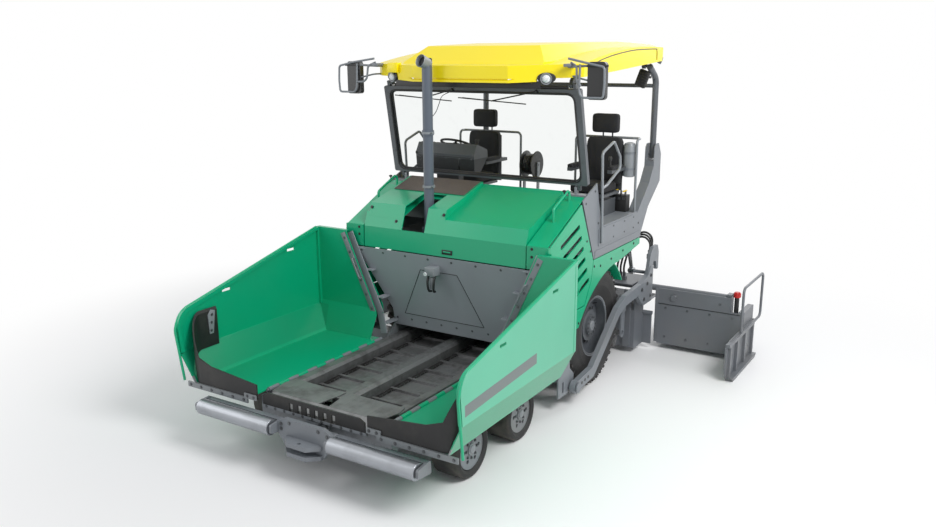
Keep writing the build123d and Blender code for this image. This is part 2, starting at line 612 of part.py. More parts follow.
def side_door():
    x = (HALF_WIDTH - PANEL_T, HALF_WIDTH)
    points = [(DOOR_Y + PANEL_GAP, 1050), (DOOR_Y + PANEL_GAP, 1842), (-556, 2168), (-222, 1500),
              (-260, 1300), (-422, 1050)]
    door = prism_x(outline(points, 8), *x)
    # six slanted louvre openings, stepped back with the door's rear edge
    for i in range(6):
        rear = (-590 + 54 * i, 1945 - 126 * i)
        slot = bar_outline([(rear[0] - 440, rear[1] - 151), rear], 26)
        door -= prism_x(fillet(slot.vertices(), 20), x[0] - 20, x[1] + 20)
    for z in DOOR_HINGES:
        door += block((x[1] - 3, DOOR_X), (DOOR_Y, DOOR_Y + 30), (z - 29, z + 29))
        door += rod((DOOR_X, DOOR_Y, z - 29), (DOOR_X, DOOR_Y, z + 29), 11)
        door -= rod((DOOR_X, DOOR_Y, z - 40), (DOOR_X, DOOR_Y, z + 40), 6 + PIN_GAP)
    return door


def exhaust_stack():
    stack = rod((STACK_X, STACK_Y, STACK_FOOT_Z + 30), (STACK_X, STACK_Y, STACK_TOP_Z), STACK_R)
    stack -= rod((STACK_X, STACK_Y, 2200), (STACK_X, STACK_Y, STACK_TOP_Z + 5), STACK_R - 5)
    wedge = prism_x(outline([(STACK_Y - 100, STACK_TOP_Z - 140), (STACK_Y + 100, STACK_TOP_Z),
                             (STACK_Y + 100, STACK_TOP_Z + 60), (STACK_Y - 100, STACK_TOP_Z + 60)]),
                    STACK_X - 80, STACK_X + 80)
    stack -= wedge
    stack += rod((STACK_X, STACK_Y, 2850), (STACK_X, STACK_Y, 2900), STACK_R + 10) \
        - rod((STACK_X, STACK_Y, 2840), (STACK_X, STACK_Y, 2910), STACK_R - 5)
    stack += rod((STACK_X, STACK_Y, STACK_FOOT_Z), (STACK_X, STACK_Y, STACK_FOOT_Z + 50), STACK_R + 30)
    return stack


# ---- platform ------------------------------------------------------------------------
COLUMN_AXIS = Vector(0, 0.35, 0.94).normalized()
COLUMN_TOP = Vector(-SEAT_X, 310, 2592)    # low enough for the folded windscreen to pass
STEER_R = 188
STEER_RIM_R = 14
STEER_RISE = 21        # from the column's end up to the middle of the rim


def platform():
    inner, narrow = HALF_WIDTH - PANEL_T, POST_IN_X - 2
    front, rear, step = HOOD_HINGE_Y + 20, DECK_REAR_Y, 975
    plan = outline([(-inner, front), (inner, front), (inner, step), (narrow, step), (narrow, rear),
                    (-narrow, rear), (-narrow, step), (-inner, step)])
    deck = prism_z(plan, DECK_Z - 40, DECK_Z)
    # raised tread plate that the operator stands on
    deck += block((-350, 350), (300, 1040), (DECK_Z - 1, DECK_Z + TREAD_T))
    # rear wall, front wall with the shelf under the windscreen, and the two walls on the chassis
    deck += block((-narrow, narrow), (BODY_REAR_Y, BODY_REAR_Y + 14), (ENGINE_DECK_Z + 20, DECK_Z))
    deck += block((-FRAME_X - FRAME_T, FRAME_X + FRAME_T), (BODY_REAR_Y, BODY_REAR_Y + 14), (1100, DECK_Z))
    shelf_z = SCREEN_FOOT_Z - 60
    deck += block((-inner, inner), (front, front + 14), (DECK_Z, shelf_z))
    deck += block((-inner, inner), (front, SCREEN_FOOT_Y + 50), (shelf_z - 14, shelf_z))
    for x in (-732, 720):
        deck += block((x, x + 12), (front, BODY_REAR_Y), (ENGINE_DECK_Z, DECK_Z - 40))
    screen_lug = block(SCREEN_LUG_X, (SCREEN_FOOT_Y - 24, SCREEN_FOOT_Y + 24), (shelf_z - 2, SCREEN_FOOT_Z))
    screen_lug += ring_x(SCREEN_LUG_X, SCREEN_FOOT_Y, SCREEN_FOOT_Z, 26)
    screen_lug -= ring_x((SCREEN_LUG_X[0] - 10, SCREEN_LUG_X[1] + 12), SCREEN_FOOT_Y, SCREEN_FOOT_Z,
                         SCREEN_PIN_R + PIN_GAP)
    deck += screen_lug + other_side(screen_lug)
    # hood hinges
    for x in (-800, 800):
        deck += ring_x((x - 140, x + 140), HOOD_HINGE_Y, HOOD_HINGE_Z - 16, 10)
        for end in (x - 140, x + 115):
            deck += block((end, end + 25), (HOOD_HINGE_Y - 10, front + 5), (HOOD_HINGE_Z - 60, HOOD_HINGE_Z - 12))
    # lift cylinder ears
    for x in (LIFT_X - 57, LIFT_X + 41):
        ear = outline([(BODY_REAR_Y + 10, LIFT_TOP[1] - 90), (LIFT_TOP[0] + 15, LIFT_TOP[1] - 45),
                       (LIFT_TOP[0] + 45, LIFT_TOP[1]), (LIFT_TOP[0] + 20, DECK_Z - 10),
                       (BODY_REAR_Y + 10, DECK_Z - 10)])
        lug = prism_x(ear, x, x + 16)
        deck += lug + other_side(lug)
    pin = ring_x((LIFT_X - 57, LIFT_X + 57), *LIFT_TOP, 22)
    return deck + pin + other_side(pin)


def platform_side():
    x = (HALF_WIDTH - PANEL_T, HALF_WIDTH)
    points = [(-535, 2200), (-180, 2345), (-30, DECK_Z + 10), (1010, DECK_Z + 10), (1180, 1520), (-208, 1512)]
    side = prism_x(outline(points), *x)
    side += prism_x(outline([(-110, 1640), (-110, 1830), (930, 1830), (1010, 1640)], 12), x[1], x[1] + 8)
    side += prism_x(outline([(-190, 1520), (-190, 1600), (1130, 1600), (1150, 1520)], 10), x[1], x[1] + 5)
    post = outline([(985, 1525), (1050, 1810), (1420, 2140), (1550, 2330), (1560, 2560),
                    (1600, 2600), (1700, 2600), (1790, 2460), (1790, 2120), (1420, 1850), (1185, 1525)], 14)
    side += prism_x(post, POST_IN_X, x[0])
    half = POST_R + RUN_GAP
    side -= block((POST_X - half, POST_X + half), (1400, 1900), (POST_FOOT_Z - 70, POST_FOOT_Z + 300))
    return side + ring_x((POST_IN_X, x[0]), POST_FOOT_Y, POST_FOOT_Z, POST_PIN_R)


def seat_frame():
    x, y = SEAT_X, SEAT_Y
    seat = block((x - 200, x + 200), (y - 180, y + 200), (DECK_Z, DECK_Z + 180))
    seat += block((x - 60, x + 60), (y - 60, y + 60), (DECK_Z + 170, DECK_Z + 240))
    seat += block((x - 235, x + 235), (y - 240, y + 230), (DECK_Z + 230, DECK_Z + 262))
    seat += block((x - 30, x + 30), (y + 210, y + 396), (DECK_Z + 235, DECK_Z + 262))
    seat += block((x - 200, x + 200), (y + 370, y + 396), (DECK_Z + 235, DECK_Z + 820))
    for side in (-1, 1):
        outer, inner = sorted((x + side * 227, x + side * 283)), sorted((x + side * 190, x + side * 283))
        seat += block(outer, (y - 130, y + 396), (DECK_Z + 500, DECK_Z + 540))
        seat += block(inner, (y + 370, y + 396), (DECK_Z + 500, DECK_Z + 540))
    for side in (-60, 60):
        seat += rod((x + side, y + 383, DECK_Z + 800), (x + side, y + 383, DECK_Z + 1010), 9)
    return seat


def seat_cushions():
    x, y = SEAT_X, SEAT_Y
    top = DECK_Z + 262 + SEAT_GAP
    cushions = [block((x - 215, x + 215), (y - 230, y + 225), (top, top + 110)),
                block((x - 205, x + 205), (y + 255, y + 370 - SEAT_GAP), (top + 40, DECK_Z + 850)),
                block((x - 130, x + 130), (y + 270, y + 374 - SEAT_GAP), (DECK_Z + 925, DECK_Z + 1150))]
    return [fillet(cushion.edges().filter_by(Axis.X), 30) for cushion in cushions]


def console():
    points = [(40, 2310), (20, 2520), (90, 2640), (330, 2560), (340, 2470), (180, 2310)]
    body = prism_x(outline(points, 18), -1240, -400)
    body += block((-1000, -680), (120, 230), (DECK_Z + 40, 2330))
    body += block((-1040, -640), (60, 290), (DECK_Z + 12, DECK_Z + 44))
    return body + rod(COLUMN_TOP - COLUMN_AXIS * 90, COLUMN_TOP, 22)


def console_rail():
    rails = []
    for y in (80, 240):
        rails.append(block((-1150, 1150), (y, y + 30), (DECK_Z, DECK_Z + 12 - SEAT_GAP)))
    return rails


def steering_wheel():
    hub_r, hub_top, knob_top = 38, 5, 44
    wheel = Torus(STEER_R, STEER_RIM_R)
    wheel += Pos(0, 0, (hub_top - STEER_RISE) / 2) * Cylinder(hub_r, hub_top + STEER_RISE)
    for angle in (90, 210, 330):
        wheel += Rot(0, 0, angle) * Pos(STEER_R / 2 + 10, 0, -4) * Box(STEER_R - 20, 26, 12)
    # turning knob on a foot at the rim
    knob = Pos(STEER_R - 20, 0, 8) * Box(40, 30, 12)
    knob += Pos(STEER_R - 24, 0, knob_top / 2 + 4) * Cylinder(16, knob_top - 8)
    wheel += Rot(0, 0, -40) * knob
    return Location(Plane(COLUMN_TOP + COLUMN_AXIS * (STEER_RISE + SEAT_GAP), z_dir=COLUMN_AXIS)) * wheel


def guard_rails():
    """Tube loops of one side of the platform."""
    x, foot = HALF_WIDTH - 40, DECK_Z
    out = HALF_WIDTH + 8 + 15 + SEAT_GAP      # outside the sweep of the folding windscreen
    front_loop = tube([(out, -60, foot - 170), (out, -120, foot + 820), (out, 185, foot + 915),
                       (out, 370, foot + 730), (out, 382, foot + 600), (out, 16, foot + 455),
                       (out, -100, foot + 440)], 15, 60)
    rear_loop = tube([(x, 1030, foot), (x, 1030, foot + 860), (x, 1155, foot + 860), (390, 1155, foot + 860),
                      (390, 1155, foot)], 15, 55)
    return front_loop, rear_loop


# ---- windscreen and roof -------------------------------------------------------------
def screen_plane():
    along = Vector(0, LINK_Y, LINK_Z).normalized()
    return Plane((0, SCREEN_FOOT_Y, SCREEN_FOOT_Z), x_dir=(1, 0, 0), z_dir=Vector(1, 0, 0).cross(along))


SCREEN_TOP = hypot(LINK_Y, LINK_Z) - 37
SCREEN_HALF = (HALF_WIDTH - 17, HALF_WIDTH - 39)     # of the frame, at its foot and top
SCREEN_OPEN = [(78 - SCREEN_HALF[0], 78), (SCREEN_HALF[0] - 78, 78), (SCREEN_HALF[1] - 76, SCREEN_TOP - 50),
               (76 - SCREEN_HALF[1], SCREEN_TOP - 50)]


def windscreen_frame():
    plane = screen_plane()
    low, high = SCREEN_HALF
    outer = outline([(-low, 40), (low, 40), (high, SCREEN_TOP), (-high, SCREEN_TOP)], 20)
    frame = extrude(plane * (outer - outline(SCREEN_OPEN, 90)), 28, both=True)
    along = hypot(LINK_Y, LINK_Z)
    lug = SCREEN_LUG_X
    foot = plane * block((lug[1] + RUN_GAP, lug[1] + 38), (-20, 60), (-20, 20))
    foot += ring_x((lug[0] - RUN_GAP, lug[1] + 38), SCREEN_FOOT_Y, SCREEN_FOOT_Z, SCREEN_PIN_R)
    head = plane * block((RAIL_X[1] + RUN_GAP, RAIL_X[1] + 40), (SCREEN_TOP - 30, along + 20), (-20, 20))
    head += ring_x((RAIL_X[0] - 6, RAIL_X[1] + 40), SCREEN_FOOT_Y + LINK_Y, SCREEN_FOOT_Z + LINK_Z,
                   SCREEN_PIN_R)
    return frame + foot + other_side(foot) + head + other_side(head)


def windscreen_glass():
    opening = outline([(x * 0.9995, y + (0.4 if y < 500 else -0.4)) for x, y in SCREEN_OPEN], 90)
    return extrude(screen_plane() * opening, 4, both=True)


def roof_solid(inset, drop):
    """Lobed slab with a raised middle that widens to the rear, moved in by inset.

    drop lowers the underside, so that the inner one opens the shell below.
    """
    half, rear, low = ROOF_HALF - inset, ROOF_REAR_Y - inset, ROOF_LOW_Z - drop
    corner, nose_x, nose_y = ROOF_FRONT_Y + inset, ROOF_NOSE[0], ROOF_NOSE[1] + inset
    front = [(half, corner), (half - 97, corner - 90), (nose_x, nose_y)]
    plan = outline([(half, rear)] + front + [(-x, y) for x, y in front[::-1]] + [(-half, rear)])
    under = [(rear, ROOF_LOW_Z + 190 - drop), (200, ROOF_LOW_Z + 100 - drop)]
    top = ROOF_LOW_Z - inset
    slab = make_face(Polyline(under + [(nose_y, low + 40), (nose_y, top + 170), (corner, top + 190)])
                     + ThreePointArc((corner, top + 190), (400, top + 322), (rear, top + 345))
                     + Line((rear, top + 345), under[0]))
    front_line = [(corner, low + 40), (nose_y, low), (nose_y, top + 20), (-450, top + 370)]
    ridge = make_face(Polyline(under + front_line)
                      + ThreePointArc((-450, top + 370), (500, top + 420), (rear, top + 375))
                      + Line((rear, top + 375), under[0]))
    sections = []
    for y, points in ((nose_y - 10, ((840, 0), (830, 190), (620, 360))),
                      (rear + 10, ((half - 20, 0), (half - 20, 320), (1050, 430)))):
        edge = [(x - inset * (x != half - 20), top + z - drop * (z == 0)) for x, z in points]
        sections.append(Plane.XZ.offset(-y) * outline(edge + [(-x, z) for x, z in edge[::-1]]))
    middle = loft(sections, ruled=True) & prism_x(ridge, -half, half) & prism_z(plan, 2000, 5000)
    return (prism_x(slab, -half, half) & prism_z(plan, 2000, 5000)) + middle


def roof_shell():
    return roof_solid(0, 0) - roof_solid(ROOF_T, 200)


def roof_frame():
    front = (SCREEN_FOOT_Y + LINK_Y, SCREEN_FOOT_Z + LINK_Z)
    rear = (POST_FOOT_Y + LINK_Y, POST_FOOT_Z + LINK_Z)
    points = [(front[0] - 24, front[1]), (front[0] - 10, front[1] + 50), (front[0] + 200, ROOF_LOW_Z + 190),
              (rear[0] + 30, ROOF_LOW_Z + 220), (rear[0] + 36, rear[1]), (rear[0] - 130, ROOF_LOW_Z + 160),
              (front[0] + 240, ROOF_LOW_Z + 130), (front[0] + 24, front[1] - 10)]
    rail = prism_x(outline(points), *RAIL_X)
    rail += ring_x(RAIL_X, *front, 28) + ring_x(RAIL_X, *rear, 34)
    rail -= ring_x((RAIL_X[0] - 5, RAIL_X[1] + 5), *front, SCREEN_PIN_R + PIN_GAP)
    rail -= ring_x((RAIL_X[0] - 5, RAIL_X[1] + 5), *rear, POST_PIN_R + PIN_GAP)
    frame = rail + other_side(rail)
    reach = ROOF_HALF - ROOF_T
    for y in (-250, 500, 1250):
        frame += block((-reach, reach), (y, y + 50), (ROOF_LOW_Z + 162, ROOF_LOW_Z + 200))
    return frame


def roof_mirror():
    """Mirror with its bent arm, on the front edge of the roof."""
    root_x, y, z = ROOF_HALF - 97, ROOF_FRONT_Y - 200, ROOF_LOW_Z + 160
    arm = tube([(root_x, ROOF_FRONT_Y - 80, z), (root_x, y + 20, z), (root_x + 220, y, z + 10),
                (root_x + 440, y, z + 10)], 12, 40)
    low_arm = tube([(root_x + 50, ROOF_FRONT_Y - 30, z - 90), (root_x + 50, y + 30, z - 90),
                    (root_x + 240, y + 10, z - 130), (root_x + 300, y + 10, z - 130)], 9, 30)
    head = block((root_x + 225, root_x + 415), (y, y + 60), (z - 310, z + 50))
    return arm + low_arm + fillet(head.edges().filter_by(Axis.Y), 35) - roof_solid(0, 0)


def rear_posts():
    rear_y, rear_z = POST_FOOT_Y + LINK_Y, POST_FOOT_Z + LINK_Z
    post = tube([(POST_X, POST_FOOT_Y, POST_FOOT_Z - 40), (POST_X, POST_FOOT_Y, rear_z - 150),
                 (POST_X, rear_y - 10, rear_z - 10)], POST_R, 140)
    post -= ring_x((POST_X - 60, POST_X + 60), POST_FOOT_Y, POST_FOOT_Z, POST_PIN_R + PIN_GAP)
    post += ring_x((RAIL_X[0] - 8, POST_X), rear_y, rear_z, POST_PIN_R)
    bar = ring_x((-POST_X, POST_X), POST_FOOT_Y, rear_z - 240, 24)
    return post + other_side(post) + bar


# ---- screed --------------------------------------------------------------------------
def tow_arm():
    x = (ARM_X, ARM_X + ARM_T)
    line = [(TOW_Y, TOW_Z), (-290, 250), (400, 770), (620, 845), (1160, 880)]
    arm = prism_x(bar_outline(line, 62), *x) + ring_x(x, TOW_Y, TOW_Z, 70)
    plate = outline([(1000, 800), (1180, 640), (1490, 640), (1490, 1080), (1400, 1100), (1330, 1000),
                     (1100, 940)], 25)
    mast = outline([(1330, 1000), (1400, 1250), (1480, 1330), (1640, 1330), (1690, 1230), (1690, 1010),
                    (1640, 1010), (1600, 1120), (1520, 1140), (1490, 1060), (1450, 1000)], 12)
    arm += prism_x(plate, *x) + prism_x(mast, x[0] + 10, x[1] - 10)
    arm += block((SCREED_HALF, ARM_X + 5), (SCREED_FRONT_Y + 60, SCREED_REAR_Y - 20), (700, 900))
    arm += ring_x((LIFT_X - 50, ARM_X + 5), *LIFT_EYE, 22)
    arm += block((ARM_X - 28, ARM_X + 12), (SCREED_REAR_Y + 8, SCREED_REAR_Y + 120),
                 (MAST_FITTING_Z - 60, MAST_FITTING_Z))
    arm -= ring_x((ARM_X - 5, ARM_X + ARM_T + 5), TOW_Y, TOW_Z, TOW_PIN_R + PIN_GAP)
    return arm


def main_screed():
    half = SCREED_HALF
    front, rear = SCREED_FRONT_Y, SCREED_REAR_Y
    section = outline([(front, SCREED_LOW_Z + 20), (front, 560), (front + 60, 640), (rear - 40, 640),
                       (rear, 600), (rear, SCREED_LOW_Z), (front + 30, SCREED_LOW_Z)])
    body = prism_x(section, -half, half)
    side = outline([(front, 90), (front, 840), (rear, 900), (rear, 90)])
    inner = outline([(front + 60, 630), (front + 60, 700), (front + 160, 846), (rear + 40, 846),
                     (rear + 40, 720), (rear - 40, 630)])
    for x, shape in ((half - 16, side), (700, inner), (200, inner)):
        rib = prism_x(shape, x, x + 16)
        body += rib + other_side(rib)
    # portal over the extensions, with a guide tube for each of them
    body += block((-PORTAL_HALF, PORTAL_HALF), (front + 130, 1830), (PORTAL_Z, PORTAL_Z + 16))
    for tube_y in TUBE_YS.values():
        body += ring_x((-PORTAL_HALF, PORTAL_HALF), tube_y, TUBE_Z, TUBE_R + 14)
        for x in (20 - PORTAL_HALF, -600, 0, 570, PORTAL_HALF - 40):
            body += block((x - 10, x + 10), (tube_y - 50, tube_y + 50), (TUBE_Z, PORTAL_Z + 5))
    for tube_y in TUBE_YS.values():
        body -= ring_x((-PORTAL_HALF - 1, PORTAL_HALF + 1), tube_y, TUBE_Z, TUBE_R + PIN_GAP)
    # middle hanger and raised walkway
    hanger = outline([(1780, 856), (1780, 840), (1990, 560), (1990, 432), (WALK_REAR_Y, 432),
                      (WALK_REAR_Y, 462), (2030, 480), (2030, 600), (1830, 856)])
    for x in (-90, 74):
        body += prism_x(hanger, x, x + 16)
    body += block((-1120, 1120), (1990, WALK_REAR_Y), (455, 475))
    # deflector plates beyond the main plate
    plate = block((half - 60, EXT_IN_X - 55), (front + 285, front + 305), (70, 470))
    plate += ring_x((half - 60, EXT_IN_X - 48), front + 290, 480, 26)
    body += plate + other_side(plate)
    flange = block((half - 140, half - 50), (front - 32, front + 4), (90, 830))
    # fittings of the hoses that come over from the tow arms
    fitting = block((HOSE_X[0] - 30, HOSE_X[-1] + 30), (rear - 20, rear + 30), (PORTAL_Z + 10, PORTAL_Z + 70))
    body += flange + other_side(flange) + fitting + other_side(fitting)
    return body


def extension():
    x0, x1 = EXT_IN_X, EXT_OUT_X
    front, rear = EXT_FRONT_Y, EXT_REAR_Y
    section = outline([(front, SCREED_LOW_Z + 20), (front, 600), (front + 14, 610), (front + 60, 610),
                       (rear, 480), (rear, SCREED_LOW_Z), (front + 30, SCREED_LOW_Z)])
    body = prism_x(section, x0, x1)
    body += prism_x(outline([(front, 590), (front, 800), (front + 14, 800), (front + 14, 590)]), x0, x1 - 120)
    # walkway
    body += block((x0, x1), (rear - 5, WALK_REAR_Y - 40), (330, 350))
    for x in (x0 + 20, x1 - 40):
        body += prism_x(outline([(rear - 10, 200), (WALK_REAR_Y - 60, 332), (rear - 10, 332)]), x, x + 14)
    # side wall and end plate carrier
    wall = outline([(front, 80), (front, 640), (rear, 640), (rear, 80)], 10)
    body += prism_x(wall, x1 - 20, END_PLATE_X - SEAT_GAP)
    return body


def telescope(side):
    """Sliding tube of an extension with its outer bracket."""
    y = TUBE_YS[side]
    inner, outer = 330, 2330
    rail = ring_x((inner, outer), y, TUBE_Z, TUBE_R)
    rail += block((outer - 60, outer), (y - 52, y + 52), (500, TUBE_Z + 52))
    return rail


def end_plate():
    x = (END_PLATE_X, END_PLATE_X + END_PLATE_T)
    skid = outline([(EXT_FRONT_Y - 700, 40), (EXT_FRONT_Y - 760, 110), (EXT_FRONT_Y - 760, 420),
                    (EXT_FRONT_Y - 600, 470), (EXT_REAR_Y - 100, 470), (EXT_REAR_Y - 60, 40),
                    (EXT_REAR_Y - 120, 0), (EXT_FRONT_Y - 660, 0)])
    plate = prism_x(skid, x[0], x[0] + 20)
    foot = outline([(EXT_FRONT_Y - 700, 40), (EXT_REAR_Y - 60, 40), (EXT_REAR_Y - 120, 0),
                    (EXT_FRONT_Y - 660, 0)])
    plate += prism_x(foot, x[0], x[1] + 40)
    for y in (EXT_FRONT_Y - 685, EXT_FRONT_Y - 400, EXT_FRONT_Y - 60, EXT_REAR_Y - 130):
        plate += block((x[0], x[1]), (y, y + 40), (36, 440))
    plate += block((x[0], x[1]), (EXT_FRONT_Y - 740, EXT_REAR_Y - 80), (420, 460))
    rail_x, start, end = x[0] + 30, EXT_FRONT_Y - 220, WALK_REAR_Y - 150
    plate += tube([(rail_x, start, 440), (rail_x, start, 1000), (rail_x, end, 1000), (rail_x, end, 437),
                   (rail_x, EXT_REAR_Y - 95, 437)], 16, 70)
    return plate


def auger():
    shaft = ring_x((150, 1165), AUGER_Y, AUGER_Z, AUGER_SHAFT_R)
    pitch, thick, steps = 260, 14, 12
    corner_r = AUGER_R / cos(radians(180 / steps))
    corners = bolt_circle(steps, corner_r)
    flight = Part()
    for i in range(4 * steps):
        x0 = 170 + i * pitch / steps
        if x0 + pitch / steps + thick > 1150:
            break
        wedge = outline([(0, 0), corners[i % steps], corners[(i + 1) % steps]])
        flight += prism_x(Pos(AUGER_Y, AUGER_Z) * wedge, x0, x0 + pitch / steps + thick)
    return shaft + flight


def auger_frame():
    frame = block((-130, 130), (AUGER_Y - 120, AUGER_Y + 120), (150, 620))
    frame += block((-1200, 1200), (AUGER_Y - 60, AUGER_Y + 60), (600, 660))
    for x in (-1190, 1170):
        hanger = outline([(AUGER_Y - 55, 610), (AUGER_Y + 55, 610), (AUGER_Y + 50, AUGER_Z - 20),
                          (AUGER_Y, AUGER_Z - 60), (AUGER_Y - 50, AUGER_Z - 20)])
        frame += prism_x(hanger, x, x + 20)
    post = block((FRAME_X - 90, FRAME_X), (AUGER_Y - 60, AUGER_Y + 30), (640, 1080))
    frame += post + other_side(post)
    for side in (1, -1):
        end = ring_x(sorted((side * 120, side * 170)), AUGER_Y, AUGER_Z, 70)
        frame += end
    for side in (1, -1):
        frame -= ring_x(sorted((side * 140, side * 1300)), AUGER_Y, AUGER_Z, AUGER_SHAFT_R + PIN_GAP)
    return frame


def lift_frame():
    """Unit vectors of a lift cylinder: along it, from its top pivot to its eye."""
    dy, dz = LIFT_EYE[0] - LIFT_TOP[0], LIFT_EYE[1] - LIFT_TOP[1]
    length = hypot(dy, dz)
    return dy / length, dz / length, length


def lift_point(distance):
    dy, dz, _ = lift_frame()
    return LIFT_X, LIFT_TOP[0] + dy * distance, LIFT_TOP[1] + dz * distance


def lift_barrel():
    barrel = rod(lift_point(20), lift_point(LIFT_BARREL), 38)
    barrel -= rod(lift_point(60), lift_point(LIFT_BARREL + 1), 25 + PIN_GAP)
    barrel += ring_x((LIFT_X - 32, LIFT_X + 32), *LIFT_TOP, 42)
    return barrel - ring_x((LIFT_X - 40, LIFT_X + 40), *LIFT_TOP, 22 + PIN_GAP)


def lift_rod():
    _, _, length = lift_frame()
    bar = rod(lift_point(LIFT_ROD_START), lift_point(length - 30), 25)
    bar += ring_x((LIFT_X - 32, LIFT_X + 32), *LIFT_EYE, 44)
    return bar - ring_x((LIFT_X - 40, LIFT_X + 40), *LIFT_EYE, 22 + LIFT_EYE_PLAY)


# ---- assembly ------------------------------------------------------------------------
def build():
    wheels()
    piece("chassis_sides", chassis_side(), other_side(chassis_side()))
    piece("chassis_frame", *chassis_across())
    piece("conveyor", *conveyor())
    piece("hopper_back_wall", back_wall())
    piece("front_apron", front_apron())
    piece("centre_flap", centre_flap())
    piece("engine_block", block((-700, 420), (STACK_Y - 85, -480), (ENGINE_DECK_Z, STACK_FOOT_Z)))
    pair("hopper_wing", wing())
    pair("wing_flap", wing_flap())
    piece("push_beam", push_beam())
    pair("push_roller", push_roller())
    piece("engine_hood", engine_hood())
    piece("body_panels", body_side(), other_side(body_side()))
    pair("side_door", side_door())
    piece("exhaust_stack", exhaust_stack())
    piece("platform", platform())
    piece("platform_sides", platform_side(), other_side(platform_side()))
    piece("seat_frames", seat_frame(), other_side(seat_frame()))
    cushions = seat_cushions()
    piece("seat_cushions", *cushions, *[other_side(c) for c in cushions])
    piece("console", console())
    piece("steering_wheel", steering_wheel())
    rails = guard_rails()
    piece("guard_rails", *rails, *[other_side(rail) for rail in rails], *console_rail())
    piece("windscreen_frame", windscreen_frame())
    piece("windscreen_glass", windscreen_glass())
    piece("roof_shell", roof_shell())
    piece("roof_frame", roof_frame())
    piece("mirrors", roof_mirror(), other_side(roof_mirror()))
    piece("rear_posts", rear_posts())
    piece("tow_arms", tow_arm(), other_side(tow_arm()))
    piece("main_screed", main_screed())
    piece("screed_extension_left", extension() + telescope("left"))
    piece("screed_extension_right", other_side(extension() + telescope("right")))
    pair("end_plate", end_plate())
    pair("auger", auger())
    piece("auger_frame", auger_frame())
    piece("lift_barrels", lift_barrel(), other_side(lift_barrel()))
    piece("lift_rods", lift_rod(), other_side(lift_rod()))


def export():
    """Writes each piece to its own file, moved to the footprint's middle."""
    for name, solids in PIECES.items():
        moved = [Pos(0, ORIGIN_Y, 0) * solid for solid in solids]
        export_step(Compound(moved) if len(moved) > 1 else moved[0], f"parts/{name}.step")


build()
export()
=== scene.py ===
"""Looks of a wheeled asphalt paver: finishes, trim, soft seats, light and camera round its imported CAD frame."""

import logging
import math
from dataclasses import dataclass
from enum import Enum
from itertools import product
from typing import Iterable, Optional, Sequence, Union

import bmesh
import bpy
from mathutils import Matrix, Vector


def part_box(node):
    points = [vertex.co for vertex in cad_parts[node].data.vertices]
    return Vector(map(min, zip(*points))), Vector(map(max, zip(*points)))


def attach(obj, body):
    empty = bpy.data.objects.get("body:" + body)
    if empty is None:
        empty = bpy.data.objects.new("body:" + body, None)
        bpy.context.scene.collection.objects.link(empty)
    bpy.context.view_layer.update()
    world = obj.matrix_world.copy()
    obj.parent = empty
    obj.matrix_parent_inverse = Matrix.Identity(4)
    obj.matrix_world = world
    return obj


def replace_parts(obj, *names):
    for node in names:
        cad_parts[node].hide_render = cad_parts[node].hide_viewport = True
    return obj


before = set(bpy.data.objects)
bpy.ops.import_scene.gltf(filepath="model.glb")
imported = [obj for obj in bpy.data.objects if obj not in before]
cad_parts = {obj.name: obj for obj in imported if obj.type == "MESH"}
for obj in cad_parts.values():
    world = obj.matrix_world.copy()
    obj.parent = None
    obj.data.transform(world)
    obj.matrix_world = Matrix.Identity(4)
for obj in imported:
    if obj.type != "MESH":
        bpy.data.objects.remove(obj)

logging.basicConfig(level=logging.INFO, format="%(message)s")
log = logging.getLogger("paver")

Colour = tuple[float, float, float]
Point = tuple[float, float, float]
Section = tuple[tuple[float, float], ...]
Outline = Sequence[tuple[float, float]]
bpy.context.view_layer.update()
AXLE_Y = sum(corner[1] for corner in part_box("rear_tyre_left")) / 2


def srgb(red: int, green: int, blue: int) -> Colour:
    """Turns a 0 to 255 screen colour into the linear one that shaders take.

    Args:
        red, green, blue: the screen colour's three levels.

    Returns:
        The linear colour.
    """
    levels = [level / 255 for level in (red, green, blue)]
    return tuple(v / 12.92 if v <= 0.04045 else ((v + 0.055) / 1.055) ** 2.4 for v in levels)


WHITE: Colour = (1.0, 1.0, 1.0)
NO_LIGHT: Colour = (0.0, 0.0, 0.0)
DUST = srgb(140, 134, 124)
BARE_METAL = srgb(150, 152, 150)
SOOT = srgb(20, 20, 21)


# ---- shader sums ---------------------------------------------------------------------
Socket = bpy.types.NodeSocket


class Value:
    """A number in a node tree that can be added, multiplied and compared like a plain one."""

    def __init__(self, graph: "Graph", socket: Socket) -> None:
        """Keeps the tree and the socket that gives the number."""
        self.graph = graph
        self.socket = socket

    def _with(self, operation: str, *others: "Number", clamp: bool = False) -> "Value":
        """Adds one Math node that takes this value first."""
        return self.graph.sum(operation, self, *others, clamp=clamp)

    def __add__(self, other: "Number") -> "Value":
        """Sum."""
        return self._with("ADD", other)

    def __radd__(self, other: "Number") -> "Value":
        """Sum, with the number on the left."""
        return self._with("ADD", other)

    def __sub__(self, other: "Number") -> "Value":
        """Difference."""
        return self._with("SUBTRACT", other)

    def __rsub__(self, other: "Number") -> "Value":
        """Difference, with the number on the left."""
        return self.graph.sum("SUBTRACT", other, self)

    def __mul__(self, other: "Number") -> "Value":
        """Product."""
        return self._with("MULTIPLY", other)

    def __gt__(self, other: "Number") -> "Value":
        """One where this value is the larger, else nought."""
        return self._with("GREATER_THAN", other)

    def __lt__(self, other: "Number") -> "Value":
        """One where this value is the smaller, else nought."""
        return self._with("LESS_THAN", other)

    def clamped(self) -> "Value":
        """The value held between nought and one."""
        return self._with("ADD", 0.0, clamp=True)

    def ramp(self, low: float, high: float) -> "Value":
        """Nought below low, one above high and a smooth rise between.

        Args:
            low, high: where the rise starts and ends.

        Returns:
            The rise as a value.
        """
        node = self.graph.node("ShaderNodeMapRange", {"Value": self, "From Min": low, "From Max": high},
                               interpolation_type="SMOOTHSTEP")
        return Value(self.graph, node.outputs["Result"])


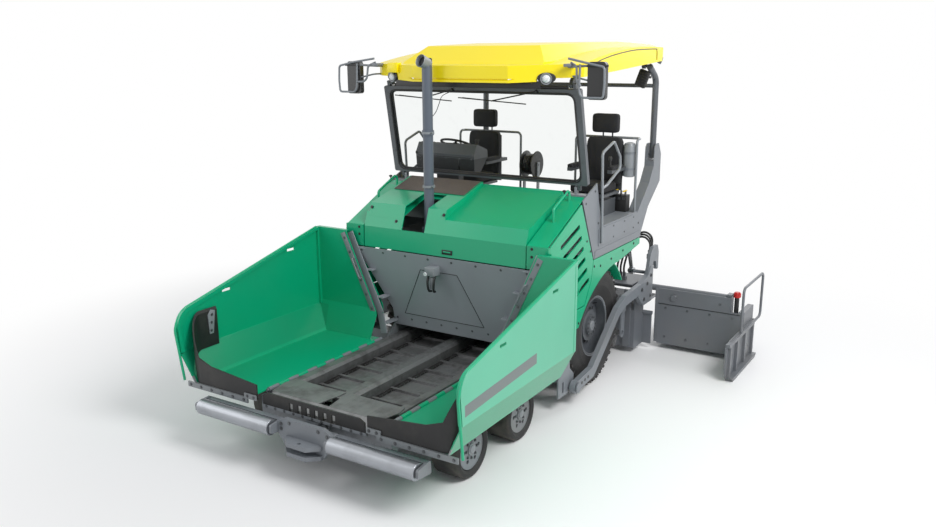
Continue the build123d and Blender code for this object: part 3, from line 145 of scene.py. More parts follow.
Number = Union[Value, float]
Link = Union[Value, Socket, float, Sequence[float], bpy.types.Material]


class Nodes:
    """A node tree with short ways to add to it."""

    def __init__(self, tree: bpy.types.NodeTree) -> None:
        """Keeps the tree."""
        self.tree = tree

    def node(self, kind: str, values: Optional[dict[str, Link]] = None, **settings: object) -> bpy.types.Node:
        """Makes any node.

        Args:
            kind: the node's type.
            values: plain values or links for its inputs, by name or position.
            settings: its own settings, put on before the inputs.

        Returns:
            The new node.
        """
        node = self.tree.nodes.new(kind)
        for key, setting in settings.items():
            setattr(node, key, setting)
        for key, value in (values or {}).items():
            self.feed(node.inputs[key], value)
        return node

    def feed(self, socket: Socket, value: Link) -> None:
        """Links or sets one input.

        Args:
            socket: the input.
            value: a value or socket to link, or plain numbers to set.
        """
        if isinstance(value, Value):
            value = value.socket
        if isinstance(value, bpy.types.NodeSocket):
            self.tree.links.new(value, socket)
        elif isinstance(value, (tuple, list)) and len(value) == 3 and socket.type == "RGBA":
            socket.default_value = (*value, 1.0)
        else:
            socket.default_value = value


class Graph(Nodes):
    """The node tree of one material."""

    def __init__(self, name: str) -> None:
        """Starts an empty material.

        Args:
            name: the material's name.
        """
        self.material = bpy.data.materials.new(name)
        self.material.use_nodes = True
        super().__init__(self.material.node_tree)
        self.tree.nodes.clear()
        self.output = self.tree.nodes.new("ShaderNodeOutputMaterial")
        self.place = self.node("ShaderNodeTexCoord").outputs["Object"]
        split = self.node("ShaderNodeSeparateXYZ", {"Vector": self.place})
        self.x, self.y, self.z = (Value(self, split.outputs[axis]) for axis in "XYZ")

    def sum(self, operation: str, *values: Number, clamp: bool = False) -> Value:
        """Adds a Math node.

        Args:
            operation: what it does.
            values: its inputs in order.
            clamp: whether the result is held between nought and one.

        Returns:
            The result.
        """
        node = self.node("ShaderNodeMath", dict(enumerate(values)), operation=operation, use_clamp=clamp)
        return Value(self, node.outputs[0])

    def mix(self, factor: Number, first: Link, second: Link) -> Socket:
        """Blends two colours: first where factor is nought, second where it is one."""
        node = self.node("ShaderNodeMix", {0: factor, 6: first, 7: second}, data_type="RGBA")
        return node.outputs[2]

    def noise(self, scale: float, detail: float = 3.0, rough: float = 0.55,
              stretch: Optional[Point] = None, seed: float = 0.0) -> Value:
        """Cloudy noise over the piece.

        Args:
            scale: how fine it is, in spots a metre.
            detail: how many finer layers it has.
            rough: how strong those are.
            stretch: scale along each axis, for streaks.
            seed: moves the pattern to another place.

        Returns:
            The noise, from nought to one.
        """
        place = self.place
        if stretch or seed:
            place = self.node("ShaderNodeMapping", {"Vector": place, "Scale": stretch or (1, 1, 1),
                                                    "Location": (seed, seed, seed)}).outputs[0]
        node = self.node("ShaderNodeTexNoise", {"Vector": place, "Scale": scale, "Detail": detail,
                                                "Roughness": rough})
        return Value(self, node.outputs[0])

    def finish(self, colour: Link, roughness: Link, bump: Optional[Value] = None, depth: float = 0.001,
               **fixed: object) -> bpy.types.Material:
        """Adds the surface shader and closes the tree.

        Args:
            colour: base colour.
            roughness: roughness.
            bump: height pattern, if any.
            depth: how deep the pattern is, in metres.
            fixed: other inputs of the shader, with _ for a space.

        Returns:
            The material.
        """
        values: dict[str, Link] = {"Base Color": colour, "Roughness": roughness}
        values.update({key.replace("_", " "): value for key, value in fixed.items()})
        if bump is not None:
            raised = self.node("ShaderNodeBump", {"Height": bump, "Distance": depth, "Strength": 1.0})
            values["Normal"] = raised.outputs[0]
        shader = self.node("ShaderNodeBsdfPrincipled", values)
        self.tree.links.new(shader.outputs[0], self.output.inputs[0])
        return self.material


# ---- finishes ------------------------------------------------------------------------
@dataclass(frozen=True)
class Paint:
    """Sprayed machine paint with a faint orange peel, dust low down and small scuffs."""

    name: str
    colour: Colour
    roughness: float = 0.32
    coat: float = 0.4
    dust: float = 0.25
    scuffs: float = 0.3
    dust_top: float = 1.2
    cloud: float = 0.12

    def shade(self, graph: Graph) -> tuple[Link, Value]:
        """Works out colour and roughness; the special paints change the colour first."""
        return self.weathered(graph, self.colour)

    def weathered(self, graph: Graph, colour: Link) -> tuple[Link, Value]:
        """Puts dust and scuffs on a colour.

        Args:
            graph: the material's tree.
            colour: the clean colour.

        Returns:
            The worn colour and its roughness.
        """
        cloud = graph.noise(1.3, 4.0, seed=3.0)
        fine = graph.noise(55.0, 3.0)
        low = 1.0 - graph.z.ramp(0.05, self.dust_top)
        dust = (low * 0.7 + 0.15) * cloud.ramp(0.35, 0.8) * self.dust
        scuff = fine.ramp(0.70, 0.78) * graph.noise(4.0, 2.0, seed=8.0).ramp(0.60, 0.75) * self.scuffs
        toned = graph.mix(cloud.ramp(0.2, 0.9) * self.cloud, colour, NO_LIGHT)
        toned = graph.mix(scuff, toned, BARE_METAL)
        toned = graph.mix(dust, toned, DUST)
        rough = self.roughness + dust * 0.45 + scuff * 0.3 + (fine - 0.5) * 0.06
        return toned, rough.clamped()

    def material(self) -> bpy.types.Material:
        """Builds the material."""
        graph = Graph(self.name)
        colour, rough = self.shade(graph)
        return graph.finish(colour, rough, graph.noise(260.0, 2.0), 0.00025, Coat_Weight=self.coat,
                            Coat_Roughness=0.12)


@dataclass(frozen=True)
class WingPaint(Paint):
    """Wing paint: outer wall paler from a painted sheen, over a deeper band; a grey stripe along it, a steel
    strip by the front flap.
    """

    half_width: float = 1.632
    band_z: float = 0.888
    band_from: float = 1.49
    # painted sheen: paler colour of the outer wall, standing in for the reflection of the white surroundings
    painted_sheen_tint: Colour = srgb(150, 205, 190)
    band_tint: Colour = srgb(0, 120, 84)
    tint_share: float = 0.30
    stripe_low: float = 0.954
    stripe_height: float = 0.098
    stripe_slope: float = 0.057
    stripe_front: float = -3.39
    stripe_rear: float = -2.20
    stripe: Colour = srgb(104, 112, 112)
    strip_y: float = -3.385
    strip_top: float = 0.66
    strip_to: float = 1.585
    strip: Colour = srgb(128, 133, 136)

    def shade(self, graph: Graph) -> tuple[Link, Value]:
        """Paints the sheen, the band, the stripe and the strip before the weather."""
        side = graph.sum("ABSOLUTE", graph.x)
        y = graph.y - AXLE_Y
        outside = side > (self.half_width - 0.004)
        line = graph.z - (y - self.stripe_front) * self.stripe_slope
        stripe = (line > self.stripe_low) * (line < self.stripe_low + self.stripe_height) * outside
        stripe = stripe * (y > self.stripe_front) * (y < self.stripe_rear)
        low = (graph.z < self.band_z) * (side > self.band_from)
        # painted sheen: the outer wall above the band is mixed towards the paler tint
        high = (graph.z > self.band_z) * outside
        strip = (y < self.strip_y) * (graph.z < self.strip_top) * (side < self.strip_to)
        colour = graph.mix(high * self.tint_share, self.colour, self.painted_sheen_tint)
        colour = graph.mix(low * self.tint_share, colour, self.band_tint)
        colour = graph.mix(stripe, colour, self.stripe)
        colour = graph.mix(strip, colour, self.strip)
        return self.weathered(graph, colour)


@dataclass(frozen=True)
class SplitPaint(Paint):
    """Two colours with a line between them: far out from the middle, or low down."""

    out_from: float = 9.0
    low_to: float = 0.0
    second: Colour = srgb(26, 27, 29)

    def shade(self, graph: Graph) -> tuple[Link, Value]:
        """Paints the second colour before the weather."""
        far = graph.sum("ABSOLUTE", graph.x) > self.out_from
        there = (far + (graph.z < self.low_to)).clamped()
        return self.weathered(graph, graph.mix(there, self.colour, self.second))


@dataclass(frozen=True)
class PipePaint(Paint):
    """Painted pipe with a sooty bore."""

    axis: tuple[float, float] = (-0.321, -1.030)
    bore: float = 0.0535

    def shade(self, graph: Graph) -> tuple[Link, Value]:
        """Blackens what lies nearer the axis than the wall's outside."""
        across = graph.x - self.axis[0]
        along = graph.y - (AXLE_Y + self.axis[1])
        inside = (across * across + along * along) < self.bore ** 2
        return self.weathered(graph, graph.mix(inside, self.colour, SOOT))


@dataclass(frozen=True)
class WornSteel:
    """Plain steel that the mix rubs: streaks along the travel, dark film in cloudy patches."""

    name: str
    colour: Colour
    metallic: float = 0.85
    roughness: float = 0.38
    film: float = 0.5
    film_colour: Colour = srgb(40, 38, 36)
    along: Point = (30.0, 1.5, 30.0)

    def material(self) -> bpy.types.Material:
        """Builds the material."""
        graph = Graph(self.name)
        streak = graph.noise(1.0, 5.0, 0.65, stretch=self.along)
        cloud = graph.noise(5.0, 4.0, seed=5.0)
        film = cloud.ramp(0.42, 0.7) * self.film
        colour = graph.mix(streak * 0.35, self.colour, NO_LIGHT)
        colour = graph.mix(film, colour, self.film_colour)
        rough = (self.roughness + streak * 0.22 + film * 0.3).clamped()
        return graph.finish(colour, rough, streak + cloud * 0.5, 0.0006, Metallic=self.metallic)


@dataclass(frozen=True)
class Moulded:
    """Plastic or rubber with a fine grain and a little dust."""

    name: str
    colour: Colour
    roughness: float = 0.5
    grain: float = 420.0
    depth: float = 0.0004
    dust: float = 0.2
    dust_colour: Colour = srgb(120, 116, 108)
    coat: float = 0.0

    def material(self) -> bpy.types.Material:
        """Builds the material."""
        graph = Graph(self.name)
        cloud = graph.noise(3.0, 4.0, seed=2.0)
        dust = cloud.ramp(0.45, 0.85) * self.dust
        colour = graph.mix(dust, self.colour, self.dust_colour)
        rough = (self.roughness + cloud * 0.12 + dust * 0.3).clamped()
        return graph.finish(colour, rough, graph.noise(self.grain, 2.0), self.depth, Coat_Weight=self.coat)


@dataclass(frozen=True)
class TyreRubber:
    """Tyre rubber: dusty tread, dark moulded sidewall with fine rings about the axle."""

    name: str
    axle: tuple[float, float]
    outer: float
    rubber: Colour = srgb(31, 31, 32)
    dust: Colour = srgb(112, 107, 98)
    ring_pitch: float = 0.022

    def material(self) -> bpy.types.Material:
        """Builds the material."""
        graph = Graph(self.name)
        away_y, away_z = graph.y - self.axle[0], graph.z - self.axle[1]
        radius = graph.sum("SQRT", away_y * away_y + away_z * away_z)
        tread = radius.ramp(self.outer * 0.9, self.outer)
        rings = graph.sum("SINE", radius * (2 * math.pi / self.ring_pitch)) * (1.0 - tread) * 0.3
        cloud = graph.noise(7.0, 4.0)
        dust = (tread * 0.45 + 0.08) * cloud.ramp(0.3, 0.8)
        colour = graph.mix(dust, self.rubber, self.dust)
        rough = (0.62 + dust * 0.3).clamped()
        return graph.finish(colour, rough, rings + graph.noise(160.0, 3.0), 0.0012)


@dataclass(frozen=True)
class Glazing:
    """Clear flat glass with a faint tint, a little smudged."""

    name: str
    tint: Colour = (0.975, 0.985, 0.98)
    skin: Colour = (0.02, 0.025, 0.025)

    def material(self) -> bpy.types.Material:
        """Builds the material: mostly see-through, with a reflecting skin."""
        graph = Graph(self.name)
        smudge = graph.noise(9.0, 3.0).ramp(0.5, 0.9) * 0.02
        clear = graph.node("ShaderNodeBsdfTransparent", {"Color": (*self.tint, 1.0)})
        gloss = graph.node("ShaderNodeBsdfPrincipled", {"Base Color": self.skin, "Roughness": 0.04})
        edge = graph.node("ShaderNodeLayerWeight", {"Blend": 0.18})
        share = Value(graph, edge.outputs["Fresnel"]) * 0.35 + 0.015 + smudge
        both = graph.node("ShaderNodeMixShader", {0: share.clamped(), 1: clear.outputs[0], 2: gloss.outputs[0]})
        graph.tree.links.new(both.outputs[0], graph.output.inputs[0])
        return graph.material


@dataclass(frozen=True)
class Lamp:
    """Lens of a lamp: bright, ribbed, under a clear skin."""

    name: str
    colour: Colour
    pitch: float = 0.008

    def material(self) -> bpy.types.Material:
        """Builds the material."""
        graph = Graph(self.name)
        ribs = graph.sum("SINE", graph.x * (2 * math.pi / self.pitch))
        colour = graph.mix(ribs * 0.2 + 0.2, self.colour, WHITE)
        return graph.finish(colour, 0.12, ribs, 0.0008, Coat_Weight=1.0, Coat_Roughness=0.03)


MACHINE_GREEN = srgb(0, 170, 122)
ROOF_YELLOW = srgb(255, 232, 0)


class Finishes(Enum):
    """Every finish of the machine."""

    GREEN = Paint("green_paint", MACHINE_GREEN, roughness=0.34, coat=0.25, dust=0.04, scuffs=0.12, cloud=0.06)
    WING = WingPaint("wing_paint", MACHINE_GREEN, roughness=0.32, coat=0.25, dust=0.07, scuffs=0.3, cloud=0.06)
    YELLOW = Paint("yellow_roof", ROOF_YELLOW, roughness=0.36, coat=0.2, dust=0.01, scuffs=0.0, cloud=0.02)
    FRAME = Paint("frame_grey", srgb(122, 127, 133), roughness=0.42, coat=0.15, dust=0.4)
    LIGHT_GREY = Paint("light_grey", srgb(136, 141, 146), roughness=0.38, coat=0.2, dust=0.15)
    WALL = Paint("wall_grey", srgb(154, 159, 166), roughness=0.45, coat=0.1, dust=0.2, scuffs=0.6)
    MIRRORS = SplitPaint("mirror_arms", srgb(112, 117, 120), roughness=0.4, coat=0.2, dust=0.1, out_from=1.400)
    CONSOLE = SplitPaint("console_grey", srgb(88, 92, 97), roughness=0.45, coat=0.1, dust=0.1, low_to=2.470,
                         second=srgb(44, 46, 49))
    STACK = PipePaint("stack_grey", srgb(88, 97, 110), roughness=0.4, coat=0.15, dust=0.1)
    SCREEN_FRAME = Paint("screen_frame_grey", srgb(90, 94, 99), roughness=0.42, coat=0.1, dust=0.1)
    DARK = Paint("dark_grey", srgb(74, 78, 82), roughness=0.45, coat=0.1, dust=0.3)
    SCREED = Paint("screed_grey", srgb(108, 112, 118), roughness=0.42, coat=0.1, dust=0.3, scuffs=0.5)
    STEEL = WornSteel("worn_steel", srgb(150, 151, 152))
    ROLLER = WornSteel("roller_steel", srgb(176, 180, 186), roughness=0.24, along=(1.5, 30.0, 30.0), film=0.15)
    CHROME = WornSteel("rod_chrome", srgb(210, 212, 214), metallic=1.0, roughness=0.12, film=0.1)
    CAST = Paint("cast_block", srgb(60, 62, 64), roughness=0.6, coat=0.0, dust=0.3)
    FLAP = Moulded("rubber_flap", srgb(26, 26, 27), roughness=0.42, grain=90.0, depth=0.0008)
    BLACK = Moulded("black_plastic", srgb(24, 25, 27), roughness=0.38)
    SEAT = Moulded("seat_cloth", srgb(30, 31, 34), roughness=0.8, grain=600.0, depth=0.001, dust=0.05)
    GLASS = Glazing("screen_glass")
    LENS = Lamp("lamp_lens", srgb(225, 230, 232))
    RED = Moulded("red_plastic", srgb(200, 28, 24), roughness=0.3, dust=0.05)
    SIGNAL = Moulded("yellow_plastic", srgb(236, 200, 20), roughness=0.35, dust=0.05)
    TYRE_REAR = TyreRubber("drive_tyre_rubber", (AXLE_Y, 0.685), 0.685)
    TYRE_FRONT = TyreRubber("front_tyre_rubber", (AXLE_Y - 2.640, 0.270), 0.270)
    TYRE_MIDDLE = TyreRubber("middle_tyre_rubber", (AXLE_Y - 1.740, 0.270), 0.270)
    NUT = WornSteel("bolt_steel", srgb(120, 123, 126), roughness=0.34, film=0.35, along=(30.0, 30.0, 30.0))
    CHAIN = WornSteel("chain_steel", srgb(90, 90, 90), roughness=0.5, film=0.8, along=(30.0, 30.0, 30.0))
    # painted shade: dark sheet that stands for the shade seen through the grille's mesh
    GRILLE_SHADE_SHEET = Moulded("grille_painted_shade", srgb(58, 50, 45), roughness=0.7)
    GRILLE_BARS = Paint("grille_mesh", srgb(112, 104, 98), roughness=0.5, coat=0.0, dust=0.2)
    HOSE = Moulded("hose_rubber", srgb(22, 22, 23), roughness=0.45, grain=900.0, depth=0.0003)
    MIRROR = WornSteel("mirror_face", srgb(235, 238, 240), metallic=1.0, roughness=0.03, film=0.02)
    SCREEN = Moulded("dark_display", srgb(12, 14, 18), roughness=0.08, grain=20.0, depth=0.0001, coat=0.6)


_made: dict[str, bpy.types.Material] = {}


def material_of(finish: Finishes) -> bpy.types.Material:
    """The finish's material, built once."""
    if finish.name not in _made:
        _made[finish.name] = finish.value.material()
    return _made[finish.name]


NODE_FINISHES: dict[Finishes, str] = {
    Finishes.GREEN: "body_panels engine_hood side_door_left side_door_right",
    Finishes.WING: "hopper_wing_left hopper_wing_right",
    Finishes.YELLOW: "roof_shell",
    Finishes.FRAME: "chassis_frame chassis_sides bogie_beams front_knuckle_left front_knuckle_right"
                    " middle_knuckle_left middle_knuckle_right platform_sides tow_arms push_beam front_disc_left"
                    " front_disc_right middle_disc_left middle_disc_right auger_frame",
    Finishes.LIGHT_GREY: "guard_rails platform lift_barrels",
    Finishes.SCREEN_FRAME: "windscreen_frame rear_posts rear_rim_left rear_rim_right",
    Finishes.WALL: "hopper_back_wall",
    Finishes.DARK: "roof_frame seat_frames",
    Finishes.CONSOLE: "console",
    Finishes.STACK: "exhaust_stack",
    Finishes.SCREED: "main_screed screed_extension_left screed_extension_right end_plate_left end_plate_right",
    Finishes.STEEL: "conveyor front_apron auger_left auger_right",
    Finishes.ROLLER: "push_roller_left push_roller_right",
    Finishes.CHROME: "lift_rods",
    Finishes.CAST: "engine_block",
    Finishes.FLAP: "centre_flap wing_flap_left wing_flap_right",
    Finishes.BLACK: "steering_wheel",
    Finishes.MIRRORS: "mirrors",
    Finishes.SEAT: "seat_cushions",
    Finishes.GLASS: "windscreen_glass",
}


def dress(node: str, material: bpy.types.Material) -> None:
    """Gives a CAD node its material.

    Args:
        node: the node's name.
        material: what it wears.
    """
    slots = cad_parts[node].data.materials
    for index in range(len(slots)):
        slots[index] = material
    if not slots:
        slots.append(material)


def dress_frame() -> None:
    """Dresses every CAD node that stays in view."""
    for finish, nodes in NODE_FINISHES.items():
        for node in nodes.split():
            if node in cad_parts:
                dress(node, material_of(finish))


# ---- meshes --------------------------------------------------------------------------
SIDES = (("left", 1), ("right", -1))
ALONG_X: Point = (1.0, 0.0, 0.0)
FORWARD: Point = (0.0, -1.0, 0.0)
UP: Point = (0.0, 0.0, 1.0)


def at(x: float, y: float, z: float) -> Point:
    """A place counted along Y from the rear axle."""
    return (x, AXLE_Y + y, z)


def span(first: float, second: float) -> tuple[float, float]:
    """Two places along an axis, the lower one first."""
    return (first, second) if first < second else (second, first)


class Tree(Nodes):
    """A Geometry Nodes tree with named sizes that makes one repeated detail."""

    def __init__(self, name: str, sizes: dict[str, Union[int, float, Point]]) -> None:
        """Starts the tree.

        Args:
            name: the tree's name.
            sizes: its inputs, by name, with their values.
        """
        super().__init__(bpy.data.node_groups.new(name, "GeometryNodeTree"))
        self.sizes = sizes
        self.tree.interface.new_socket("Detail", in_out="OUTPUT", socket_type="NodeSocketGeometry")
        self.tree.interface.new_socket("Points", in_out="INPUT", socket_type="NodeSocketGeometry")
        self.keys: dict[str, str] = {}
        for key, value in sizes.items():
            kind = {int: "NodeSocketInt", float: "NodeSocketFloat"}.get(type(value), "NodeSocketVector")
            self.keys[key] = self.tree.interface.new_socket(key, in_out="INPUT", socket_type=kind).identifier
        self.start = self.tree.nodes.new("NodeGroupInput")
        self.end = self.tree.nodes.new("NodeGroupOutput")

    def given(self, key: str) -> Socket:
        """The socket of a named size."""
        return self.start.outputs[key]

    def run(self, copies: Socket, finish: Finishes, points: Sequence[Point] = ()) -> bpy.types.Mesh:
        """Ends the tree, sets its sizes and takes the plain mesh.

        Args:
            copies: the instances.
            finish: what the detail wears.
            points: places that it stands on, if any.

        Returns:
            The plain mesh.
        """
        real = self.node("GeometryNodeRealizeInstances", {"Geometry": copies}).outputs[0]
        worn = self.node("GeometryNodeSetMaterial", {"Geometry": real, "Material": material_of(finish)})
        self.tree.links.new(worn.outputs[0], self.end.inputs[0])
        mesh = bpy.data.meshes.new(self.tree.name)
        mesh.from_pydata(list(points) or [(0, 0, 0)], [], [])
        carrier = bpy.data.objects.new(self.tree.name, mesh)
        bpy.context.scene.collection.objects.link(carrier)
        modifier = carrier.modifiers.new("detail", "NODES")
        modifier.node_group = self.tree
        for key, value in self.sizes.items():
            modifier[self.keys[key]] = value
        graph = bpy.context.evaluated_depsgraph_get()
        plain = bpy.data.meshes.new_from_object(carrier.evaluated_get(graph))
        carrier.modifiers.remove(modifier)
        bpy.data.objects.remove(carrier)
        return plain


class Shape:
    """One piece: closed solids in several finishes, gathered in one mesh."""

    def __init__(self, name: str) -> None:
        """Starts an empty piece."""
        self.name = name
        self.mesh = bmesh.new()
        self.finishes: list[Finishes] = []

    def _index(self, finish: Finishes) -> int:
        """The finish's slot in this piece."""
        if finish not in self.finishes:
            self.finishes.append(finish)
        return self.finishes.index(finish)

    def close(self, faces: Iterable[bmesh.types.BMFace], finish: Finishes) -> None:
        """Turns new faces outwards and gives them their finish."""
        faces = [face for face in faces if face.is_valid]
        bmesh.ops.recalc_face_normals(self.mesh, faces=faces)
        slot = self._index(finish)
        for face in faces:
            face.material_index = slot
            face.smooth = True

    def block(self, low: Point, high: Point, finish: Finishes, bevel: float = 0.003,
              turn: Optional[Matrix] = None) -> None:
        """Adds a box with softened edges.

        Args:
            low, high: its corners.
            finish: what it wears.
            bevel: how far its edges are softened.
            turn: a turn or move put on it last.
        """
        outline = [(low[0], low[1]), (high[0], low[1]), (high[0], high[1]), (low[0], high[1])]
        self.prism(outline, "z", low[2], high[2], finish, bevel, turn)

    def sided(self, sign: int, low: Point, high: Point, finish: Finishes, bevel: float = 0.003) -> None:
        """Adds a softened box on one side of the machine.

        Args:
            sign: 1 for the left side, -1 for the right one.
            low, high: its corners on the left side, counted from the rear axle.
            finish: what it wears.
            bevel: how far its edges are softened.
        """
        start, end = span(sign * low[0], sign * high[0])
        self.block(at(start, *low[1:]), at(end, *high[1:]), finish, bevel)

    def prism(self, outline: Outline, axis: str, low: float, high: float,
              finish: Finishes, bevel: float = 0.002, turn: Optional[Matrix] = None) -> None:
        """Adds a flat outline run along an axis.

        Args:
            outline: its corners, (y, z) along x, (x, z) along y and (x, y) along z.
            axis: "x", "y" or "z".
            low, high: where it starts and ends.
            finish: what it wears.
            bevel: how far its edges are softened.
            turn: a turn or move put on it last.
        """
        order = {"x": lambda a, b, c: (c, a, b), "y": lambda a, b, c: (a, c, b), "z": lambda a, b, c: (a, b, c)}
        rows = [[self.mesh.verts.new(order[axis](a, b, end)) for a, b in outline] for end in (low, high)]
        faces = [self.mesh.faces.new(row) for row in rows]
        for i in range(len(outline)):
            j = (i + 1) % len(outline)
            faces.append(self.mesh.faces.new((rows[0][i], rows[0][j], rows[1][j], rows[1][i])))
        bmesh.ops.recalc_face_normals(self.mesh, faces=faces)
        if bevel:
            edges = list(dict.fromkeys(edge for face in faces for edge in face.edges))
            made = bmesh.ops.bevel(self.mesh, geom=edges, offset=bevel, segments=2, affect="EDGES",
                                   profile=0.5, clamp_overlap=True)
            corners = dict.fromkeys(vert for face in made["faces"] for vert in face.verts)
            faces = list(dict.fromkeys(face for vert in corners for face in vert.link_faces))
        if turn is not None:
            points = list(dict.fromkeys(vert for face in faces for vert in face.verts))
            bmesh.ops.transform(self.mesh, matrix=turn, verts=points)
        self.close(faces, finish)

    def turned(self, profile: Outline, start: Point, axis: Point, finish: Finishes,
               sides: int = 48) -> None:
        """Adds a solid turned about a line.

        Args:
            profile: (along, out) corners from end to end; closed on itself where it misses the line.
            start: where along is nought.
            axis: the line's direction.
            finish: what it wears.
            sides: how many steps it is turned in.
        """
        turn = Vector(axis).normalized().to_track_quat("Z", "Y").to_matrix()
        rings = []
        for along, out in profile:
            count = 1 if out == 0 else sides
            rings.append([self.mesh.verts.new(Vector(start) + turn @ Vector((
                out * math.cos(2 * math.pi * i / count), out * math.sin(2 * math.pi * i / count), along)))
                for i in range(count)])
        around = len(rings) if profile[0][1] and profile[-1][1] else len(rings) - 1
        faces = []
        for k in range(around):
            first, second = rings[k], rings[(k + 1) % len(rings)]
            for i in range(sides):
                corners = [first[i % len(first)], first[(i + 1) % len(first)],
                           second[(i + 1) % len(second)], second[i % len(second)]]
                corners = list(dict.fromkeys(corners))
                if len(corners) > 2:
                    faces.append(self.mesh.faces.new(corners))
        self.close(faces, finish)

    def bar(self, start: Point, end: Point, radius: float, finish: Finishes, sides: int = 24) -> None:
        """Adds a round bar with softened ends."""
        length = (Vector(end) - Vector(start)).length
        soft = min(0.003, radius * 0.3, length * 0.3)
        profile = [(0, 0), (0, radius - soft), (soft, radius), (length - soft, radius), (length, radius - soft),
                   (length, 0)]
        self.turned(profile, start, tuple(Vector(end) - Vector(start)), finish, sides)

    def band(self, inner: float, outer: float, middle: Point, finish: Finishes, sides: int = 48) -> None:
        """Adds a strap round an upright pipe: its inner and outer radius, and its middle."""
        half = 0.012
        self.turned(((-half, inner), (-half, outer), (half, outer), (half, inner)), middle, UP, finish, sides)

    def hose(self, points: Sequence[Point], radius: float, finish: Finishes, sides: int = 12,
             steps: int = 8) -> None:
        """Adds a smooth round tube through its points.

        Args:
            points: the places it runs through.
            radius: half its thickness.
            finish: what it wears.
            sides: how many sides it has.
            steps: how finely it follows its curve.
        """
        ends = [Vector(p) for p in points]
        ends = [2 * ends[0] - ends[1], *ends, 2 * ends[-1] - ends[-2]]
        line = []
        for a, b, c, d in zip(ends, ends[1:], ends[2:], ends[3:]):
            for i in range(steps):
                t = i / steps
                line.append(0.5 * (2 * b + (c - a) * t + (2 * a - 5 * b + 4 * c - d) * t * t
                                   + (3 * b - a - 3 * c + d) * t ** 3))
        line.append(ends[-2])
        self.swept(line, radius, finish, sides)

    def pipe(self, points: Sequence[Point], radius: float, bend: float, finish: Finishes,
             sides: int = 14) -> None:
        """Adds a bent tube: straight runs with rounded corners of the bend's radius."""
        line = [Vector(points[0])]
        for a, b, c in zip(points, points[1:], points[2:]):
            a, b, c = Vector(a), Vector(b), Vector(c)
            back, on = (a - b).normalized(), (c - b).normalized()
            reach = min(bend, (a - b).length / 2, (c - b).length / 2)
            for i in range(7):
                t = i / 6
                line.append((b + back * reach) * (1 - t) ** 2 + 2 * b * t * (1 - t) + (b + on * reach) * t * t)
        line.append(Vector(points[-1]))
        self.swept(line, radius, finish, sides)

    def swept(self, line: Sequence[Vector], radius: float, finish: Finishes, sides: int) -> None:
        """Adds a round section carried along a run of points, with closed ends."""
        ahead = (line[1] - line[0]).normalized()
        side = ahead.orthogonal().normalized()
        rings = []
        for i, place in enumerate(line):
            ahead = (line[min(i + 1, len(line) - 1)] - line[max(i - 1, 0)]).normalized()
            side = (side - ahead * side.dot(ahead)).normalized()
            up = ahead.cross(side)
            rings.append([self.mesh.verts.new(place + radius * (
                side * math.cos(2 * math.pi * k / sides) + up * math.sin(2 * math.pi * k / sides)))
                for k in range(sides)])
        faces = [self.mesh.faces.new(rings[0]), self.mesh.faces.new(rings[-1])]
        for first, second in zip(rings, rings[1:]):
            for k in range(sides):
                n = (k + 1) % sides
                faces.append(self.mesh.faces.new((first[k], first[n], second[n], second[k])))
        self.close(faces, finish)

    def add(self, plain: bpy.types.Mesh, finish: Finishes, turn: Optional[Matrix] = None) -> None:
        """Takes in a ready mesh, such as a repeated detail."""
        if turn is not None:
            plain.transform(turn)
        known = set(self.mesh.faces)
        self.mesh.from_mesh(plain)
        self.close([face for face in self.mesh.faces if face not in known], finish)

    def bolts(self, points: Sequence[Point], way: Point, radius: float = 0.011, height: float = 0.008,
              finish: Finishes = Finishes.NUT) -> None:
        """Adds hexagon heads with washers.

        Args:
            points: where each stands.
            way: which way they all point.
            radius: half a head's width.
            height: how far a head stands out.
            finish: what they wear.
        """
        tree = Tree("bolt_heads", {"Head radius": radius, "Head height": height,
                                   "Way": tuple(float(part) for part in way)})
        lift = tree.node("ShaderNodeCombineXYZ", {"Z": tree.node(
            "ShaderNodeMath", {0: tree.given("Head height"), 1: 0.5}, operation="MULTIPLY").outputs[0]})
        head = tree.node("GeometryNodeMeshCylinder", {"Vertices": 6, "Radius": tree.given("Head radius"),
                                                      "Depth": tree.given("Head height")})
        head = tree.node("GeometryNodeTransform", {"Geometry": head.outputs[0], "Translation": lift.outputs[0]})
        wide = tree.node("ShaderNodeMath", {0: tree.given("Head radius"), 1: 1.5}, operation="MULTIPLY")
        washer = tree.node("GeometryNodeMeshCylinder", {"Vertices": 16, "Radius": wide.outputs[0],
                                                        "Depth": 0.004})
        both = tree.node("GeometryNodeJoinGeometry")
        for part in (head, washer):
            tree.tree.links.new(part.outputs[0], both.inputs[0])
        turn = tree.node("FunctionNodeAlignRotationToVector", {"Vector": tree.given("Way")}, axis="Z")
        copies = tree.node("GeometryNodeInstanceOnPoints", {"Points": tree.start.outputs[0],
                                                            "Instance": both.outputs[0],
                                                            "Rotation": turn.outputs[0]})
        self.add(tree.run(copies.outputs[0], finish, points), finish)

    def row(self, size: Point, count: int, step: Point, start: Point, finish: Finishes,
            tilt: Point = (0.0, 0.0, 0.0)) -> None:
        """Adds a row of equal slats.

        Args:
            size: one slat's size.
            count: how many there are.
            step: the way from one to the next.
            start: the middle of the first.
            finish: what they wear.
            tilt: how each is turned about itself.
        """
        tree = Tree("slats", {"Count": count, "Size": size, "Step": step, "Start": start, "Tilt": tilt})
        line = tree.node("GeometryNodeMeshLine", {"Count": tree.given("Count"), "Offset": tree.given("Step"),
                                                  "Start Location": tree.given("Start")})
        slat = tree.node("GeometryNodeMeshCube", {"Size": tree.given("Size")})
        copies = tree.node("GeometryNodeInstanceOnPoints", {"Points": line.outputs[0],
                                                            "Instance": slat.outputs[0],
                                                            "Rotation": tree.given("Tilt")})
        self.add(tree.run(copies.outputs[0], finish), finish)

